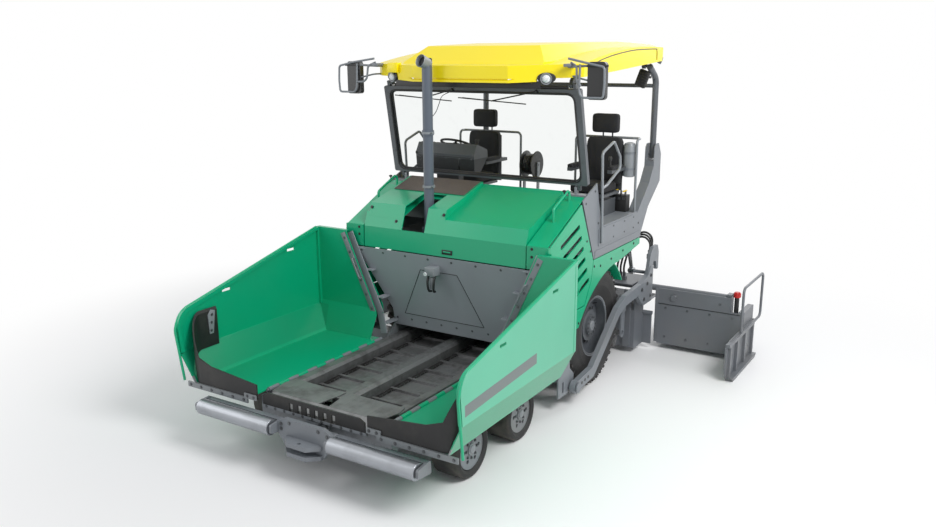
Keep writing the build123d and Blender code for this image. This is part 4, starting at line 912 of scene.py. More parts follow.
    def ring(self, size: Point, count: int, out: float, along: float, centre: Point, finish: Finishes,
             slant: float = 0.0) -> None:
        """Adds equal blocks round a line along X, such as tread bars.

        Args:
            size: one block's size: outwards, round the ring, and along the axle.
            count: how many there are.
            out: how far its middle is from the line.
            along: how far it is moved along the line.
            centre: the middle of the ring.
            finish: what they wear.
            slant: how each is turned about its outward direction.
        """
        tree = Tree("ring_of_blocks", {"Count": count, "Size": size, "Place": (out, 0.0, along),
                                       "Slant": (slant, 0.0, 0.0)})
        cube = tree.node("GeometryNodeMeshCube", {"Size": tree.given("Size")})
        cube = tree.node("GeometryNodeTransform", {"Geometry": cube.outputs[0], "Rotation": tree.given("Slant"),
                                                   "Translation": tree.given("Place")})
        line = tree.node("GeometryNodeMeshLine", {"Count": tree.given("Count"), "Offset": (0, 0, 0)})
        index = tree.node("GeometryNodeInputIndex")
        step = tree.node("ShaderNodeMath", {0: 2 * math.pi, 1: tree.given("Count")}, operation="DIVIDE")
        angle = tree.node("ShaderNodeMath", {0: index.outputs[0], 1: step.outputs[0]}, operation="MULTIPLY")
        turn = tree.node("ShaderNodeCombineXYZ", {"Z": angle.outputs[0]})
        copies = tree.node("GeometryNodeInstanceOnPoints", {"Points": line.outputs[0],
                                                            "Instance": cube.outputs[0],
                                                            "Rotation": turn.outputs[0]})
        onto_axle = Matrix.Translation(centre) @ Matrix.Rotation(math.pi / 2, 4, "Y")
        self.add(tree.run(copies.outputs[0], finish), finish, onto_axle)

    def place(self, body: str, corner: float = 32.0) -> bpy.types.Object:
        """Makes the piece's object and lets it ride on its body.

        Args:
            body: the CAD body.
            corner: edges sharper than this, in degrees, stay sharp.

        Returns:
            The object.
        """
        mesh = bpy.data.meshes.new(self.name)
        self.mesh.to_mesh(mesh)
        self.mesh.free()
        for finish in self.finishes:
            mesh.materials.append(material_of(finish))
        mesh.set_sharp_from_angle(angle=math.radians(corner))
        piece = bpy.data.objects.new(self.name, mesh)
        bpy.context.scene.collection.objects.link(piece)
        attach(piece, body)
        log.info("%s rides on %s with %d faces", self.name, body, len(mesh.polygons))
        return piece


# ---- wheels --------------------------------------------------------------------------
def mirrored(points: Section) -> list[tuple[float, float]]:
    """A half section run out from the middle of a tyre, with its other half."""
    return [*points, *[(-along, out) for along, out in reversed(points)]]


@dataclass
class Tyres:
    """Lugged drive tyres and smooth solid front tyres."""

    rear_radius: float = 0.685
    rear_x: float = 1.057
    bars: int = 40
    bar_depth: float = 0.016
    bar_size: tuple[float, float] = (0.044, 0.150)
    bar_rows: tuple[tuple[float, float], ...] = ((0.078, 0.55), (-0.078, -0.55))
    rib_size: Point = (0.030, 0.034, 0.024)
    rib_drop: float = 0.036
    rib_row: float = 0.158
    rear_half: Section = ((0.135, 0.330), (0.152, 0.342), (0.160, 0.352), (0.163, 0.372), (0.176, 0.405),
                          (0.184, 0.455), (0.1875, 0.470), (0.1875, 0.482), (0.184, 0.496), (0.1855, 0.540),
                          (0.181, 0.590), (0.170, 0.632))
    rear_crown: Section = ((0.152, -0.014), (0.125, -0.003), (0.060, 0.0))
    front_radius: float = 0.270
    front_x: float = 1.095
    front_half: Section = ((0.108, 0.190), (0.120, 0.192), (0.132, 0.198), (0.140, 0.210), (0.146, 0.222),
                           (0.150, 0.228), (0.150, 0.234), (0.147, 0.240), (0.143, 0.253), (0.133, 0.264),
                           (0.120, 0.269), (0.060, 0.270))
    axles: tuple[tuple[str, float], ...] = (("front", -2.640), ("middle", -1.740))

    def rear(self, side: str, sign: int) -> None:
        """Builds one drive tyre with its tread bars and sidewall ribs."""
        top = self.rear_radius - self.bar_depth + 0.004
        half = (*self.rear_half, *[(along, top + drop) for along, drop in self.rear_crown])
        centre = at(sign * self.rear_x, 0, self.rear_radius)
        tyre = Shape(f"drive_tyre_{side}")
        tyre.turned(mirrored(half), centre, ALONG_X, Finishes.TYRE_REAR, 96)
        out = self.rear_radius - self.bar_depth / 2
        for row, slant in self.bar_rows:
            tyre.ring((self.bar_depth, *self.bar_size), self.bars, out, row, centre, Finishes.TYRE_REAR, slant)
        for row in (self.rib_row, -self.rib_row):
            tyre.ring(self.rib_size, self.bars, self.rear_radius - self.rib_drop, row, centre,
                      Finishes.TYRE_REAR)
        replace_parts(tyre.place(f"rear_wheel_{side}"), f"rear_tyre_{side}")

    def front(self, place: str, axle: float, side: str, sign: int) -> None:
        """Builds one solid front tyre."""
        finish = Finishes.TYRE_FRONT if place == "front" else Finishes.TYRE_MIDDLE
        tyre = Shape(f"{place}_tyre_rubber_{side}")
        centre = at(sign * self.front_x, axle, self.front_radius)
        tyre.turned(mirrored(self.front_half), centre, ALONG_X, finish, 72)
        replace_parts(tyre.place(f"{place}_wheel_{side}"), f"{place}_tyre_{side}")

    def build(self) -> None:
        """Builds all six."""
        for side, sign in SIDES:
            self.rear(side, sign)
            for place, axle in self.axles:
                self.front(place, axle, side, sign)


@dataclass
class WheelFittings:
    """Nuts, hub bolts, caps, valves and bead rings on the wheels."""

    wheels: Tyres
    rim_face: float = 0.0415
    hub_face: float = 0.1275
    lip_face: float = 0.150
    disc_face: float = 0.1215
    cap_face: float = 0.1335
    hub_cap: Section = ((0, 0), (0, 0.06), (0.010, 0.056), (0.016, 0.040), (0.018, 0))
    bead_lip: Section = ((0, 0.338), (0.006, 0.346), (0.006, 0.356), (-0.004, 0.360), (-0.006, 0.338))
    disc_cap: Section = ((0, 0), (0, 0.040), (0.008, 0.037), (0.012, 0.024), (0.013, 0))
    valve_foot: Point = (0, 0.20, 0.20)
    valve_stem: tuple[float, float] = (0.05, 0.012)

    @staticmethod
    def circle(count: int, radius: float, centre: Point, start: float = 0.0) -> list[Point]:
        """Places of bolts round an axle."""
        turns = [start + 2 * math.pi * i / count for i in range(count)]
        return [(centre[0], centre[1] + radius * math.cos(t), centre[2] + radius * math.sin(t)) for t in turns]

    def rear(self, side: str, sign: int) -> None:
        """Fits one drive wheel."""
        rim, way = Shape(f"rear_rim_fittings_{side}"), (sign, 0, 0)
        face, hub, lip = (at(sign * (self.wheels.rear_x + out), 0, self.wheels.rear_radius)
                          for out in (self.rim_face, self.hub_face, self.lip_face))
        rim.bolts(self.circle(10, 0.200, face, 0.31), way, 0.017, 0.022)
        rim.bolts(self.circle(12, 0.098, hub), way, 0.010, 0.009)
        rim.turned(self.hub_cap, hub, way, Finishes.FRAME)
        rim.turned(self.bead_lip, lip, way, Finishes.LIGHT_GREY, 72)
        valve, (out, along) = Vector(face) + Vector(self.valve_foot), self.valve_stem
        rim.bar(tuple(valve), tuple(valve + Vector((sign * out, along, along))), 0.006, Finishes.BLACK)
        rim.place(f"rear_wheel_{side}")

    def front(self, place: str, axle: float, side: str, sign: int) -> None:
        """Fits one solid front wheel."""
        disc, way = Shape(f"{place}_disc_fittings_{side}"), (sign, 0, 0)
        face, cap = (at(sign * (self.wheels.front_x + out), axle, self.wheels.front_radius)
                     for out in (self.disc_face, self.cap_face))
        disc.bolts(self.circle(8, 0.086, face), way, 0.011, 0.014)
        disc.turned(self.disc_cap, cap, way, Finishes.LIGHT_GREY, 32)
        disc.place(f"{place}_wheel_{side}")

    def build(self) -> None:
        """Fits every wheel."""
        for side, sign in SIDES:
            self.rear(side, sign)
            for place, axle in self.wheels.axles:
                self.front(place, axle, side, sign)


# ---- hopper --------------------------------------------------------------------------
@dataclass
class WingTrim:
    """Rolled top edge, bolted strips and the clamp plates of the hopper's wings."""

    outer: float = 1.632
    edge_radius: float = 0.013
    edge_bend: float = 0.19
    front_y: float = -3.470
    rear_y: float = -1.395
    front_z: float = 1.287
    rear_z: float = 1.790
    flap_bolts: Section = (*[(0.81 + 0.145 * i, 0.572) for i in range(6)], (0.68, 0.618), (0.76, 0.618))
    strip_low: tuple[float, float] = (0.806, 0.890)
    strip_high: tuple[float, float] = (1.215, 1.770)
    strip_width: float = 0.062
    grip_reach: tuple[float, float] = (0.42, 0.66)
    clamp_x: float = 1.589
    clamp_thick: float = 0.007
    clamp: Section = ((-3.085, 0.985), (-3.035, 0.985), (-3.000, 1.215), (-3.055, 1.235), (-3.095, 1.185))
    clamp_bolts: Section = ((-3.062, 1.02), (-3.055, 1.10), (-3.045, 1.18))

    def rolled_edge(self, trim: Shape, sign: int) -> None:
        """Round bead along the top and front edges."""
        x, bend = sign * (self.outer - 0.010), self.edge_bend
        slope = (self.rear_z - self.front_z) / (self.rear_y - self.front_y)
        line = [at(x, self.front_y + 0.062, 0.600), at(x, self.front_y + 0.002, self.front_z - bend)]
        for i in range(5):
            turn = math.radians(10 + 17 * i)
            y = self.front_y + bend - bend * math.cos(turn)
            z = self.front_z - bend + bend * math.sin(turn) + slope * bend * (1 - math.cos(turn))
            line.append(at(x, y, z))
        line.append(at(x, self.rear_y - 0.03, self.rear_z - 0.004))
        trim.swept([Vector(p) for p in line], self.edge_radius, Finishes.GREEN, 12)

    def strips(self, trim: Shape, sign: int) -> None:
        """Bolts of the flap strip, and the steel strip up the rear wall's slanted edge with its grip."""
        trim.bolts([at(sign * x, self.front_y + 0.0615, z) for x, z in self.flap_bolts], FORWARD)
        low, high = Vector(self.strip_low), Vector(self.strip_high)
        along = (high - low).normalized()
        across = Vector((along.y, -along.x))
        corners = [low, high, high + across * self.strip_width, low + across * self.strip_width]
        wall_y = AXLE_Y + self.rear_y - 0.010
        face_y = wall_y - 0.008
        trim.prism([(sign * c.x, c.y) for c in corners], "y", face_y, wall_y, Finishes.FRAME, 0.0015)
        heads = [low + along * (0.06 + 0.17 * i) + across * (self.strip_width / 2) for i in range(6)]
        trim.bolts([(sign * p.x, face_y, p.y) for p in heads], FORWARD, 0.010, 0.007)
        first, last = (low + along * reach + across * 0.012 for reach in self.grip_reach)
        trim.pipe([(sign * end.x, wall_y - out, end.y) for end, out in
                   ((first, 0.006), (first, 0.040), (last, 0.040), (last, 0.006))], 0.009, 0.02, Finishes.FRAME)

    def flap_clamp(self, trim: Shape, sign: int) -> None:
        """Plate with bolts that holds the flap's rear edge to the wall."""
        x = sign * self.clamp_x
        inner = x - sign * self.clamp_thick
        clamp = [(AXLE_Y + y, z) for y, z in self.clamp]
        trim.prism(clamp, "x", *span(x, inner), Finishes.LIGHT_GREY, 0.0015)
        trim.bolts([at(inner, y, z) for y, z in self.clamp_bolts], (-sign, 0, 0), 0.010)

    def build(self) -> None:
        """Trims both wings."""
        for side, sign in SIDES:
            trim = Shape(f"wing_trim_{side}")
            self.rolled_edge(trim, sign)
            self.strips(trim, sign)
            self.flap_clamp(trim, sign)
            trim.place(f"wing_{side}")


@dataclass
class BackWallTrim:
    """Hatch seam, lamp box with its hooked sensor arms and bolts on the hopper's back wall."""

    top: tuple[float, float] = (-1.330, 1.605)
    foot: tuple[float, float] = (-1.130, 0.700)
    face: Point = (0, -0.976, -0.216)
    hatch: Section = ((-0.27, 1.43), (0.20, 1.43), (0.46, 0.86), (-0.58, 0.86))
    bolt_rows: tuple[tuple[float, float, float], ...] = ((-0.70, 0.2, 0.79), (-1.05, 0.3, 1.565))
    box: tuple[float, float] = (-0.07, 1.45)
    arms: tuple[float, float] = (-0.035, 0.045)
    hook: tuple[Point, ...] = ((1.0, 0.07, 0.03), (1.0, 0.10, 0.11), (0.8, 0.09, 0.20), (0.6, 0.05, 0.22))

    def spot(self, x: float, z: float, out: float) -> Point:
        """A place on the sloping wall, out from its face."""
        share = (z - self.foot[1]) / (self.top[1] - self.foot[1])
        y = self.foot[0] + (self.top[0] - self.foot[0]) * share
        return at(x, y - 0.9764 * out, z - 0.2158 * out)

    def lamp_box(self, trim: Shape) -> None:
        """Box with a lamp, two hooked arms and the plate between them."""
        x, y, z = self.spot(*self.box, 0.0)
        trim.block((x - 0.065, y - 0.120, z - 0.040), (x + 0.065, y + 0.012, z + 0.055), Finishes.LIGHT_GREY,
                   0.012)
        trim.bar((x - 0.05, y - 0.10, z - 0.02), (x - 0.05, y - 0.128, z - 0.024), 0.022, Finishes.LENS)
        for shift in self.arms:
            line = [(x + shift * share, y - out, z - down) for share, out, down in self.hook]
            trim.hose(line, 0.013, Finishes.BLACK)
        trim.block((x - 0.02, y - 0.085, z - 0.19), (x + 0.03, y - 0.06, z - 0.06), Finishes.LIGHT_GREY, 0.006)

    def build(self) -> None:
        """Builds the trim."""
        trim = Shape("back_wall_trim")
        corners = [self.spot(x, z, 0.001) for x, z in self.hatch]
        for first, second in zip(corners, corners[1:] + corners[:1]):
            trim.bar(first, second, 0.0035, Finishes.BLACK, 8)
        trim.bolts([self.spot(x + step * i, z, -0.001) for x, step, z in self.bolt_rows for i in range(8)],
                   self.face, 0.009, 0.006)
        self.lamp_box(trim)
        trim.place("tractor")


@dataclass
class FrontTrim:
    """Bolts along the apron strip, roller end caps and the bolts of the push beam."""

    strip_y: float = -3.3665
    strip_half: float = 0.615
    roller_y: float = -3.520
    roller_z: float = 0.445
    roller_ends: tuple[tuple[float, int], ...] = ((0.325, -1), (1.285, 1))
    roller_cap: Section = ((0, 0), (0, 0.030), (0.010, 0.028), (0.012, 0))
    plate_y: float = -3.4375
    plate_x: tuple[float, ...] = (0.45, 0.75, 1.05, 1.22)
    plate_z: tuple[float, float] = (0.425, 0.465)
    casting_y: float = -3.4795
    casting: Section = ((0.27, 0.44), (0.27, 0.485), (0.17, 0.51), (0.11, 0.25))

    def build(self) -> None:
        """Builds the apron's and the beam's trim."""
        apron = Shape("apron_bolts")
        apron.bolts([at(-0.56 + 0.112 * i, self.strip_y, 0.546) for i in range(11)], FORWARD, 0.010, 0.007)
        apron.block(at(-self.strip_half, self.strip_y, 0.533), at(self.strip_half, self.strip_y + 0.001, 0.560),
                    Finishes.LIGHT_GREY, 0)
        apron.place("tractor")
        beam = Shape("push_beam_trim")
        for sign in (-1, 1):
            for x, way in self.roller_ends:
                beam.turned(self.roller_cap, at(sign * x, self.roller_y, self.roller_z), (sign * way, 0, 0),
                            Finishes.NUT, 24)
            beam.bolts([at(sign * x, self.plate_y, z) for x in self.plate_x for z in self.plate_z], FORWARD)
            beam.bolts([at(sign * x, self.casting_y, z) for x, z in self.casting], FORWARD, 0.013, 0.010)
        beam.place("push_beam")


@dataclass
class ConveyorTrim:
    """Drag chains of the conveyor lanes."""

    chain_x: tuple[float, ...] = (0.122, 0.542)
    start_y: float = -3.150
    chain_z: float = 0.5035
    height: float = 0.020
    pitch: float = 0.070
    links: int = 54
    link_widths: tuple[float, float] = (0.016, 0.034)

    def build(self) -> None:
        """Lays two chains in each lane: inner and outer links by turns."""
        chain = Shape("drag_chains")
        for sign in (-1, 1):
            for x in self.chain_x:
                for index, width in enumerate(self.link_widths):
                    chain.row((width, self.pitch * 0.8, self.height), self.links, (0.0, self.pitch, 0.0),
                              at(sign * x, self.start_y + index * self.pitch / 2, self.chain_z), Finishes.CHAIN)
        chain.place("tractor")


# ---- engine housing ------------------------------------------------------------------
@dataclass
class HoodTrim:
    """Air grille, a black block as painted shade of the latch recess, and bolts on the engine hood; knobs and
    bolts on the panels.
    """

    grille_low: tuple[float, float] = (-0.815, 2.1915)
    grille_high: tuple[float, float] = (-0.475, 2.2955)
    grille_x: tuple[float, float] = (-0.950, -0.010)
    rows: int = 24
    columns: int = 60
    bar_rise: float = 0.007
    latch: tuple[Point, Point] = ((0.02, -1.306, 1.640), (0.15, -1.297, 1.690))
    latch_bar: tuple[Point, Point] = ((0.04, -1.311, 1.662), (0.13, -1.302, 1.676))
    hood_bolts: tuple[Point, ...] = ((-0.60, -1.262, 1.925), (-0.96, -1.224, 2.045), (0.0, -1.224, 2.045))
    slope: Point = (0, -0.93, 0.37)
    front_y: float = -1.3005
    front_bolts: Section = ((1.09, 1.74), (1.22, 1.74), (1.09, 1.82), (1.22, 1.20), (1.22, 0.95), (0.98, 1.05))
    side_x: float = 1.2755
    side_bolts: Section = ((-0.19, 1.43), (-0.02, 1.40), (0.28, 1.42), (0.62, 1.45), (0.95, 1.47),
                           (-0.56, 0.88), (-0.9, 0.90), (-1.2, 0.90))
    knob_at: tuple[float, float] = (1.12, -0.66)
    knob_z: tuple[float, float] = (2.256, 2.300)
    knob: Section = ((0, 0), (0, 0.014), (0.006, 0.020), (0.016, 0.020), (0.022, 0.010), (0.024, 0))

    def grille(self, trim: Shape) -> None:
        """Crossed fine bars over a dark brown sheet, which is painted shade seen through the mesh."""
        low, high = Vector(self.grille_low), Vector(self.grille_high)
        along, middle = high - low, (low + high) / 2
        lift = (math.atan2(along.y, along.x), 0.0, 0.0)
        x0, x1 = self.grille_x
        sheet = [(AXLE_Y + end.x, end.y + rise) for end, rise in
                 ((low, 0.001), (high, 0.001), (high, 0.005), (low, 0.005))]
        # painted shade: the dark brown sheet under the bars
        trim.prism(sheet, "x", x0, x1, Finishes.GRILLE_SHADE_SHEET, 0.001)
        step = along / (self.rows - 1)
        trim.row((x1 - x0, 0.006, 0.004), self.rows, (0.0, step.x, step.y),
                 at((x0 + x1) / 2, low.x, low.y + self.bar_rise), Finishes.GRILLE_BARS, lift)
        trim.row((0.005, along.length, 0.004), self.columns, ((x1 - x0) / (self.columns - 1), 0.0, 0.0),
                 at(x0, middle.x, middle.y + self.bar_rise), Finishes.GRILLE_BARS, lift)

    def build(self) -> None:
        """Builds the hood's and the panels' trim."""
        trim = Shape("hood_trim")
        self.grille(trim)
        # painted shade: the black block stands for the shaded latch recess behind the green bar
        for (low, high), finish in ((self.latch, Finishes.BLACK), (self.latch_bar, Finishes.GREEN)):
            trim.block(at(*low), at(*high), finish)
        trim.bolts([at(*place) for place in self.hood_bolts], self.slope, 0.012, finish=Finishes.BLACK)
        trim.place("hood")
        panels = Shape("panel_trim")
        for sign in (-1, 1):
            panels.bolts([at(sign * x, self.front_y, z) for x, z in self.front_bolts], FORWARD, 0.010, 0.007,
                         Finishes.BLACK)
            panels.bolts([at(sign * self.side_x, y, z) for y, z in self.side_bolts], (sign, 0, 0), 0.010, 0.006,
                         Finishes.BLACK)
            (x, y), (low, high) = self.knob_at, self.knob_z
            panels.bar(at(sign * x, y, low), at(sign * x, y, high), 0.006, Finishes.BLACK)
            panels.turned(self.knob, at(sign * x, y, high), UP, Finishes.BLACK, 16)
        panels.place("tractor")


@dataclass
class StackTrim:
    """Clamps and the turned-out mouth of the exhaust, with a dark plug in its bore as painted shade and soot."""

    x: float = -0.321
    y: float = -1.030
    radius: float = 0.055
    clamps: tuple[float, float] = (2.30, 2.875)
    mouth: Point = (-0.014, -0.060, 3.612)
    mouth_way: Point = (-0.20, -0.90, 0.32)
    mouth_wall: Section = ((-0.090, 0.056), (0.030, 0.068), (0.036, 0.065), (0.030, 0.062), (-0.090, 0.050))
    # dark plug in the bore: partly soot, partly painted shade of the pipe's inside
    bore_shade_plug: Section = ((-0.030, 0), (-0.030, 0.0560), (-0.010, 0.0575), (-0.010, 0))

    def build(self) -> None:
        """Builds the clamps and the mouth."""
        trim = Shape("stack_clamps")
        for z in self.clamps:
            trim.band(self.radius + 0.001, self.radius + 0.013, at(self.x, self.y, z), Finishes.LIGHT_GREY, 48)
            trim.bar(at(self.x + 0.055, self.y - 0.03, z), at(self.x + 0.085, self.y - 0.05, z), 0.007,
                     Finishes.NUT)
        mouth = at(self.x + self.mouth[0], self.y + self.mouth[1], self.mouth[2])
        trim.turned(self.mouth_wall, mouth, self.mouth_way, Finishes.LIGHT_GREY, 36)
        # painted shade and soot: a black plug closes the bore just inside the mouth
        trim.turned(self.bore_shade_plug, mouth, self.mouth_way, Finishes.HOSE, 36)
        trim.place("tractor")


# ---- operator's platform -------------------------------------------------------------
@dataclass
class ScreenTrim:
    """Rubber gasket, two wipers with their arms, a washer hose, a lip and bolts on the windscreen's frame."""

    foot: tuple[float, float] = (-0.350, 2.300)
    link: tuple[float, float] = (-0.220, 1.075)
    low: float = 0.078
    high: float = 1.010
    half_low: float = 1.180
    half_high: float = 1.160
    corner: float = 0.090
    gasket: tuple[Point, ...] = ((-0.006, 0.0275, 0.010), (-0.006, -0.0275, 0.010), (0.006, 0.006, 0.009))
    wipers: tuple[Section, ...] = (((-1.10, 0.955), (-0.33, 0.905), (-0.30, 1.035)),
                                   ((-0.24, 0.945), (0.60, 0.895), (0.74, 1.035)))
    lip: Section = ((1.052, -0.010), (1.090, -0.010), (1.090, 0.012), (1.052, 0.012))
    lip_half: float = 1.095
    cable: tuple[Point, ...] = ((-0.33, 1.010, 0.034), (-0.44, 0.960, 0.034), (-0.50, 0.870, 0.026),
                                (-0.56, 0.780, 0.014), (-0.62, 0.720, 0.008))
    bolt_x: float = 1.215
    bolt_up: tuple[float, float] = (0.30, 0.75)
    bolt_way: Point = (0, -0.98, -0.2)

    def spot(self, x: float, up: float, out: float) -> Point:
        """A place on the leaning screen: across, up along it, and out to the front."""
        length = math.hypot(*self.link)
        dy, dz = self.link[0] / length, self.link[1] / length
        return at(x, self.foot[0] + dy * up - dz * out, self.foot[1] + dz * up + dy * out)

    def loop(self, trim: Shape, inset: float, out: float, radius: float) -> None:
        """One rubber line round the opening."""
        half_low, half_high = self.half_low - inset, self.half_high - inset
        low, high = self.low + inset, self.high - inset
        corners = ((0, low), (half_low, low), (half_high, high), (-half_high, high), (-half_low, low),
                   (0.0001, low))
        trim.pipe([self.spot(x, up, out) for x, up in corners], radius, self.corner, Finishes.BLACK, 8)

    def wiper(self, trim: Shape, first: tuple[float, float], last: tuple[float, float],
              pivot: tuple[float, float]) -> None:
        """One arm with its blade, which runs from first to last."""
        (x0, up0), (x1, up1) = first, last
        middle = ((x0 + x1) / 2, (up0 + up1) / 2)
        trim.bar(self.spot(x0, up0, 0.020), self.spot(x1, up1, 0.020), 0.006, Finishes.BLACK, 8)
        trim.bar(self.spot(x0 + 0.05, up0, 0.011), self.spot(x1 - 0.05, up1, 0.011), 0.004, Finishes.BLACK, 8)
        trim.bar(self.spot(*middle, 0.028), self.spot(*pivot, 0.034), 0.007, Finishes.BLACK, 8)
        trim.bar(self.spot(*pivot, 0.020), self.spot(*pivot, 0.050), 0.016, Finishes.BLACK, 16)

    def build(self) -> None:
        """Builds the trim of the windscreen."""
        trim = Shape("screen_trim")
        for inset, out, radius in self.gasket:
            self.loop(trim, inset, out, radius)
        for blade in self.wipers:
            self.wiper(trim, *blade)
        lip = [self.spot(0, up, out)[1:] for up, out in self.lip]
        trim.prism(lip, "x", -self.lip_half, self.lip_half, Finishes.BLACK, 0.003)
        trim.hose([self.spot(*place) for place in self.cable], 0.004, Finishes.BLACK, 8)
        trim.bolts([self.spot(sign * self.bolt_x, up, 0.028) for sign in (-1, 1) for up in self.bolt_up],
                   self.bolt_way, 0.009, 0.006)
        trim.place("windscreen")


@dataclass
class RoofTrim:
    """Lamps under the lobes and corners, side seams, mirror glasses with tube loops, and front strips: the black
    one partly a rubber seal, partly painted shade under the roof.
    """

    half: float = 1.277
    lamp: Point = (0.955, -0.783, 3.450)
    lamp_way: Point = (0.3, -0.93, -0.2)
    # half sizes of the black oval that is painted shade of the lamp's recess
    recess: tuple[float, float] = (0.094, 0.054)
    wall_turn: float = 21.7
    lens: float = 0.050
    tail: Point = (1.240, 1.652, 3.600)
    tail_way: Point = (0.75, 0.35, -0.25)
    tail_cup: Section = ((-0.050, 0), (-0.045, 0.030), (0.0, 0.046), (0.020, 0.048), (0.024, 0.042),
                         (0.012, 0.038), (0.012, 0))
    tail_lens: Section = ((0.013, 0), (0.013, 0.038), (0.022, 0.028), (0.026, 0))
    seam: Section = ((-0.435, 3.520), (-0.416, 3.561), (-0.186, 3.619), (0.118, 3.664), (0.450, 3.697),
                     (0.783, 3.719), (1.364, 3.729), (1.420, 3.715), (1.433, 3.634), (1.436, 3.605))
    mirror_glass: tuple[Point, Point] = ((1.425, -0.7395, 3.285), (1.575, -0.7365, 3.575))
    mirror_foot: tuple[Point, Point] = ((1.150, -0.815, 3.560), (1.230, -0.690, 3.590))
    loop_left: tuple[float, float] = (1.330, 1.585)
    loop_right: tuple[float, float] = (1.440, 1.690)
    tube: float = 0.0115
    tube_bend: float = 0.030
    box: tuple[Point, Point] = ((-0.975, -0.862, 3.490), (-0.840, -0.770, 3.598))
    # black strip closing the gap under the roof: partly a rubber seal, partly painted shade
    apron: tuple[Point, Point] = ((-0.900, -0.806, 3.345), (0.900, -0.796, 3.420))
    front_strip: tuple[Point, Point] = ((-0.580, -0.9105, 3.405), (0.580, -0.9045, 3.460))

    def front_lamp(self, trim: Shape, sign: int) -> None:
        """Lamp set half into the lobe: a black oval as painted shade of its recess, a bright ring and a domed
        lens.
        """
        (wide, tall), steps, size = self.recess, 36, self.lens
        turns = [2 * math.pi * i / steps for i in range(steps)]
        oval = [(wide * math.cos(t), tall * math.sin(t)) for t in turns]
        x, y, z = self.lamp
        swing = Matrix.Rotation(math.radians(sign * self.wall_turn), 4, "Z")
        turn = Matrix.Translation(at(sign * x, y, z)) @ swing
        # painted shade: a black oval solid stands in for the shaded recess round the lamp
        trim.prism(oval, "y", -0.012, 0.020, Finishes.BLACK, 0.004, turn)
        place, way = at(sign * x, y - 0.004, z - 0.004), (sign * self.lamp_way[0], *self.lamp_way[1:])
        cup = ((-0.020, 0), (-0.020, size * 0.9), (0.014, size + 0.010), (0.022, size + 0.007),
               (0.018, size - 0.004), (0.008, size - 0.006), (0.008, 0))
        dome = ((0.009, 0), (0.009, size - 0.006), (0.020, size - 0.012), (0.030, size * 0.5), (0.033, 0))
        trim.turned(cup, place, way, Finishes.LIGHT_GREY, steps)
        trim.turned(dome, place, way, Finishes.LENS, steps)

    def tail_lamp(self, trim: Shape, sign: int) -> None:
        """Small round lamp at the roof's rear corner."""
        (x, *rest), (across, *on) = self.tail, self.tail_way
        trim.turned(self.tail_cup, at(sign * x, *rest), (sign * across, *on), Finishes.LIGHT_GREY, 32)
        trim.turned(self.tail_lens, at(sign * x, *rest), (sign * across, *on), Finishes.LENS, 32)

    def mirror(self, trim: Shape, sign: int) -> None:
        """Mirror glass on the head's rear face, and the tube loop that guards it."""
        trim.sided(sign, *self.mirror_glass, Finishes.MIRROR, 0.0005)
        inner, outer = self.loop_left if sign > 0 else self.loop_right
        loop = ((inner, -0.810, 3.585), (inner, -0.825, 3.330), (inner + 0.030, -0.825, 3.270),
                (outer, -0.825, 3.270), (outer + 0.010, -0.825, 3.400), (outer + 0.004, -0.820, 3.560),
                (inner + 0.060, -0.812, 3.600), (1.200, -0.800, 3.640))
        brace = ((1.210, -0.760, 3.600), (1.290, -0.800, 3.560), (1.300, -0.815, 3.420), (1.345, -0.822, 3.385),
                 (inner + 0.002, -0.825, 3.385))
        for line in (loop, brace):
            trim.pipe([at(sign * x, y, z) for x, y, z in line], self.tube, self.tube_bend, Finishes.FRAME)
        trim.sided(sign, *self.mirror_foot, Finishes.FRAME, 0.006)

    def build(self) -> None:
        """Builds the roof's trim."""
        trim = Shape("roof_trim")
        for sign in (-1, 1):
            self.front_lamp(trim, sign)
            self.tail_lamp(trim, sign)
            trim.hose([at(sign * (self.half + 0.0005), y, z) for y, z in self.seam], 0.0055, Finishes.BLACK, 8)
            self.mirror(trim, sign)
        # the black apron strip is partly a rubber seal and partly painted shade below the roof
        covers = ((self.box, Finishes.YELLOW, 0.008), (self.apron, Finishes.BLACK, 0.002),
                  (self.front_strip, Finishes.YELLOW, 0.001))
        for (low, high), finish, bevel in covers:
            trim.block(at(*low), at(*high), finish, bevel)
        trim.place("roof")


@dataclass
class WorkLamps:
    """Louvred work lamps on the rear posts."""

    middle: Point = (1.110, 1.440, 3.385)
    lean: float = 0.35
    case: tuple[Point, Point] = ((-0.070, -0.035, -0.105), (0.070, 0.030, 0.105))
    louvre: tuple[Point, Point] = ((-0.060, -0.042, -0.006), (0.060, -0.030, 0.006))
    rises: tuple[float, ...] = (-0.060, -0.030, 0.0, 0.030, 0.060)
    lens: tuple[Point, Point] = ((-0.055, 0.028, -0.085), (0.055, 0.036, 0.085))
    arm: tuple[Point, Point] = ((1.120, 1.440, 3.400), (1.195, 1.500, 3.400))

    def build(self) -> None:
        """Hangs both."""
        lamps = Shape("work_lamps")
        for sign in (-1, 1):
            x, y, z = self.middle
            turn = Matrix.Translation(at(sign * x, y, z)) @ Matrix.Rotation(sign * self.lean, 4, "Y")
            lamps.block(*self.case, Finishes.BLACK, 0.022, turn)
            for rise in self.rises:
                low, high = ((*corner[:2], rise + corner[2]) for corner in self.louvre)
                lamps.block(low, high, Finishes.BLACK, 0.002, turn)
            lamps.block(*self.lens, Finishes.LENS, turn=turn)
            first, last = (at(sign * x, y, z) for x, y, z in self.arm)
            lamps.bar(first, last, 0.014, Finishes.BLACK)
        lamps.place("rear_posts")


@dataclass(frozen=True)
class Cushion:
    """One crowned cushion: its middle from the seat's own, half its size, its swell and its sewn lines."""

    along: float
    up: float
    half: Point
    crown: float
    seams: tuple[float, ...] = ()


